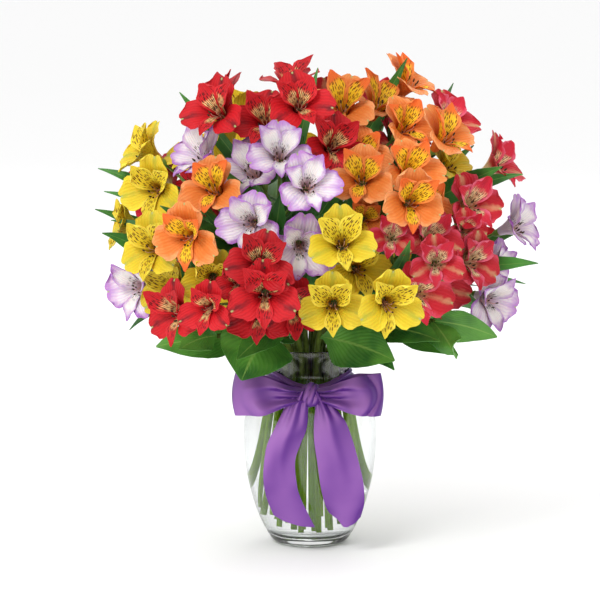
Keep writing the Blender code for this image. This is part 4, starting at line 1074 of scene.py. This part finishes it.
def make_loop(name, satin, side, reach, crease_depth):
    """A loop of the bow: gathered at the knot, full and softly dented towards its end, with a
    curved crease across it."""
    across = Vector((0, LOOP_LEAN, 1)).normalized()

    def place(s, t):
        # Along the front and back again behind: out is 0 at the knot and 1 at the loop's end
        angle = tau * (0.02 + 0.96 * t)
        out = (1 - cos(angle)) / 2
        front = angle < pi
        depth = sin(angle) * (LOOP_FRONT if front else LOOP_BACK)
        bow = 0.0026 * s * s * out * out
        middle = KNOT + Vector((side * (LOOP_ROOT + reach * out - bow), -depth, 0.0006 * out))
        full = min(1.0, out * 1.45)
        full = full * full * (3 - 2 * full)
        half = LOOP_GATHER + (RIBBON_WIDTH / 2 - LOOP_GATHER) * full
        pleats = (1 - full) * 0.0032 * cos(s * pi * 3) * min(1.0, out * 8)
        ridge = 0.0022 * hump(s - 0.70 + out * 0.4, 0.12) * (1 - out)
        dent = -0.0044 * sin(pi * min(1.0, out * 1.15)) * hump(s + 0.15, 0.45)
        billow = 0.0026 * sin(out * 11 + s * 1.6 * side) * full
        crease = crease_depth * hump(out - 0.90 + 0.13 * s * s, 0.05) * front
        away = pleats + ridge + dent + billow - crease + 0.0018 * (1 - s * s) * full
        sag = UP * -0.0012 * sin(pi * out) * s
        return middle + across * s * half + Vector((0, -1 if front else 1, 0)) * away + sag

    ribbon_piece(name, satin, place, LOOP_SEGMENTS)


def make_tail(name, satin, stations, cut, fold):
    """A tail of the bow, gathered under the knot, with one soft fold down it."""
    lefts, rights = [], []
    for (u0, v0), (u1, v1), depth in stations:
        lefts.append(sight_point(u0 * MM, v0 * MM, depth * MM, FRONT))
        rights.append(sight_point(u1 * MM, v1 * MM, depth * MM, FRONT))

    def place(s, t):
        point = smooth_at(lefts, t).lerp(smooth_at(rights, t), (s + 1) / 2)
        gathered = max(0.0, 1 - t * 3.2)
        wave = 0.0024 * gathered * cos(s * pi * 2.6)
        wave += fold * hump(s + 0.25 - 0.6 * t, 0.26) * max(0.0, 1 - t * 1.3)
        wave += 0.0013 * sin(t * 6.5 + s * 2.2) * min(1.0, t * 3)
        wave += 0.0020 * (1 - s * s)
        return point - Vector((0, wave, 0)) - UP * between(cut, s) * t**7

    ribbon_piece(name, satin, place, TAIL_SEGMENTS)


def make_knot(satin):
    """The knot: the ribbon drawn over it in pleats that slant up to the right."""
    bm = bmesh.new()
    bm.loops.layers.uv.new("UVMap")
    bmesh.ops.create_uvsphere(bm, u_segments=64, v_segments=40, radius=1)
    for vertex in bm.verts:
        co = vertex.co.copy()
        slant = co.x * 0.82 - co.z * 0.42
        ridge = sqrt(abs(sin(slant * 5.4 + 0.4))) - 0.7
        vertex.co = co * (1 + KNOT_PLEAT * ridge * max(0.0, 1 - co.z**6))
    lean = Matrix.Rotation(-KNOT_SLOPE, 4, "X")
    shape = Matrix.Translation(KNOT) @ lean @ Matrix.Diagonal((*KNOT_SIZE, 1))
    bmesh.ops.transform(bm, matrix=shape, verts=bm.verts)
    return new_piece("ribbon_knot", bm, [satin], "ribbon_bow")


def make_band(satin, knot):
    """The band round the neck, gathered into a few creases and drawn down to the knot in front."""

    def place(s, t):
        angle = tau * t - pi / 2
        front = max(0.0, cos(tau * t)) ** 3
        height = BAND_HEIGHT - BAND_DIP * front + s * (BAND_HALF - 0.0024 * front)
        crease = 0.0012 * sin(s * 11 + 0.6 * sin(angle * 3)) + 0.0014 * (1 - s * s)
        radius = outer_radius(height) + BAND_OFF + crease
        height += 0.0008 * sin(angle * 2)
        return Vector((cos(angle) * radius, sin(angle) * radius, height))

    bm = bmesh.new()
    sheet_grid(bm, *BAND_SEGMENTS, 0, place)
    bmesh.ops.remove_doubles(bm, verts=bm.verts, dist=1e-5)
    bmesh.ops.recalc_face_normals(bm, faces=bm.faces)
    thicken(bm, bm.faces[:], RIBBON_THICK)
    piece = new_piece("ribbon_band", bm, [satin], "ribbon_bow")
    flat = (RIBBON_WIDTH, tau * outer_radius(BAND_HEIGHT))


def make_bouquet(tepals, heads, stems):
    hubs = [hub_of(umbel) for umbel in UMBELS]
    tops = [sight_point(u * MM, v * MM, depth * MM, side) for _, side, (u, v), depth in SPRAYS]
    necks = neck_places([*hubs, *tops])
    ends = {}
    for umbel, hub, neck in zip(UMBELS, hubs, necks):
        matrices = place_blooms(umbel)
        lead = (mean(m.to_translation() for m in matrices) - hub).normalized()
        make_umbel(umbel, matrices, hub, lead, [*tepals[umbel[1]], *heads])
        ends[umbel[0]] = (neck, hub - lead * (HUB_RADIUS + HUB_GAP), lead, umbel[2])
    for (name, side, *_), top, neck in zip(SPRAYS, tops, necks[len(hubs) :]):
        ends[name] = (neck, top, Vector((top.x, top.y, 0)).normalized(), side)
    for name, (neck, top, lead, side) in ends.items():
        rise, sway = place_stem(name, neck, top, lead)
        rough = stem_run(neck, top, lead, rise, sway, SOLID_STEPS)
        tree = corners_of("stem_" + name)
        leaves = [place_leaf(tree, rough, side, leaf) for leaf in LEAVES[name]]
        smooth = stem_run(neck, top, lead, rise, sway, STEM_STEPS)
        make_stem(name, smooth, [leaf for leaf in leaves if leaf], stems)


def make_stage():
    """A pale floor, a white surround, soft lights and the camera."""
    bm = bmesh.new()
    bmesh.ops.create_grid(bm, x_segments=2, y_segments=2, size=FLOOR_SIZE)
    mesh = bpy.data.meshes.new("floor")
    bm.to_mesh(mesh)
    bm.free()
    shade = (FLOOR_SHADE, FLOOR_SHADE, FLOOR_SHADE, 1)
    paper, _ = finish_of("floor_paper_white", Base_Color=shade, Roughness=0.9)
    mesh.materials.append(paper)
    placed("floor", mesh)
    scene = bpy.context.scene
    scene.world = bpy.data.worlds.new("surround")
    scene.world.use_nodes = True
    surround = scene.world.node_tree.nodes["Background"]
    surround.inputs["Color"].default_value = (1, 1, 1, 1)
    surround.inputs["Strength"].default_value = 1.0
    for name, place, size, power in LIGHTS:
        light = bpy.data.lights.new(name, "AREA")
        light.size, light.energy = size, power
        placed(name, light, place, LIGHT_AIM)
    camera = bpy.data.cameras.new("camera")
    camera.lens, camera.sensor_width = LENS, SENSOR
    scene.camera = placed("camera", camera, (0, -EYE_DISTANCE, EYE_HEIGHT), CAMERA_AIM)
    scene.view_settings.view_transform = "Standard"


make_stage()
tepals, heads, stems, glass, water = make_finishes()
satin = make_satin()
make_vase(glass)
make_water(water)
make_band(satin, make_knot(satin))
make_loop("ribbon_loop_left", satin, -1, 0.066, 0.0010)
make_loop("ribbon_loop_right", satin, 1, 0.060, 0.0034)
make_tail("ribbon_tail_left", satin, LEFT_TAIL, LEFT_CUT, 0.0016)
make_tail("ribbon_tail_right", satin, RIGHT_TAIL, RIGHT_CUT, 0.0034)
make_bouquet(tepals, heads, stems)
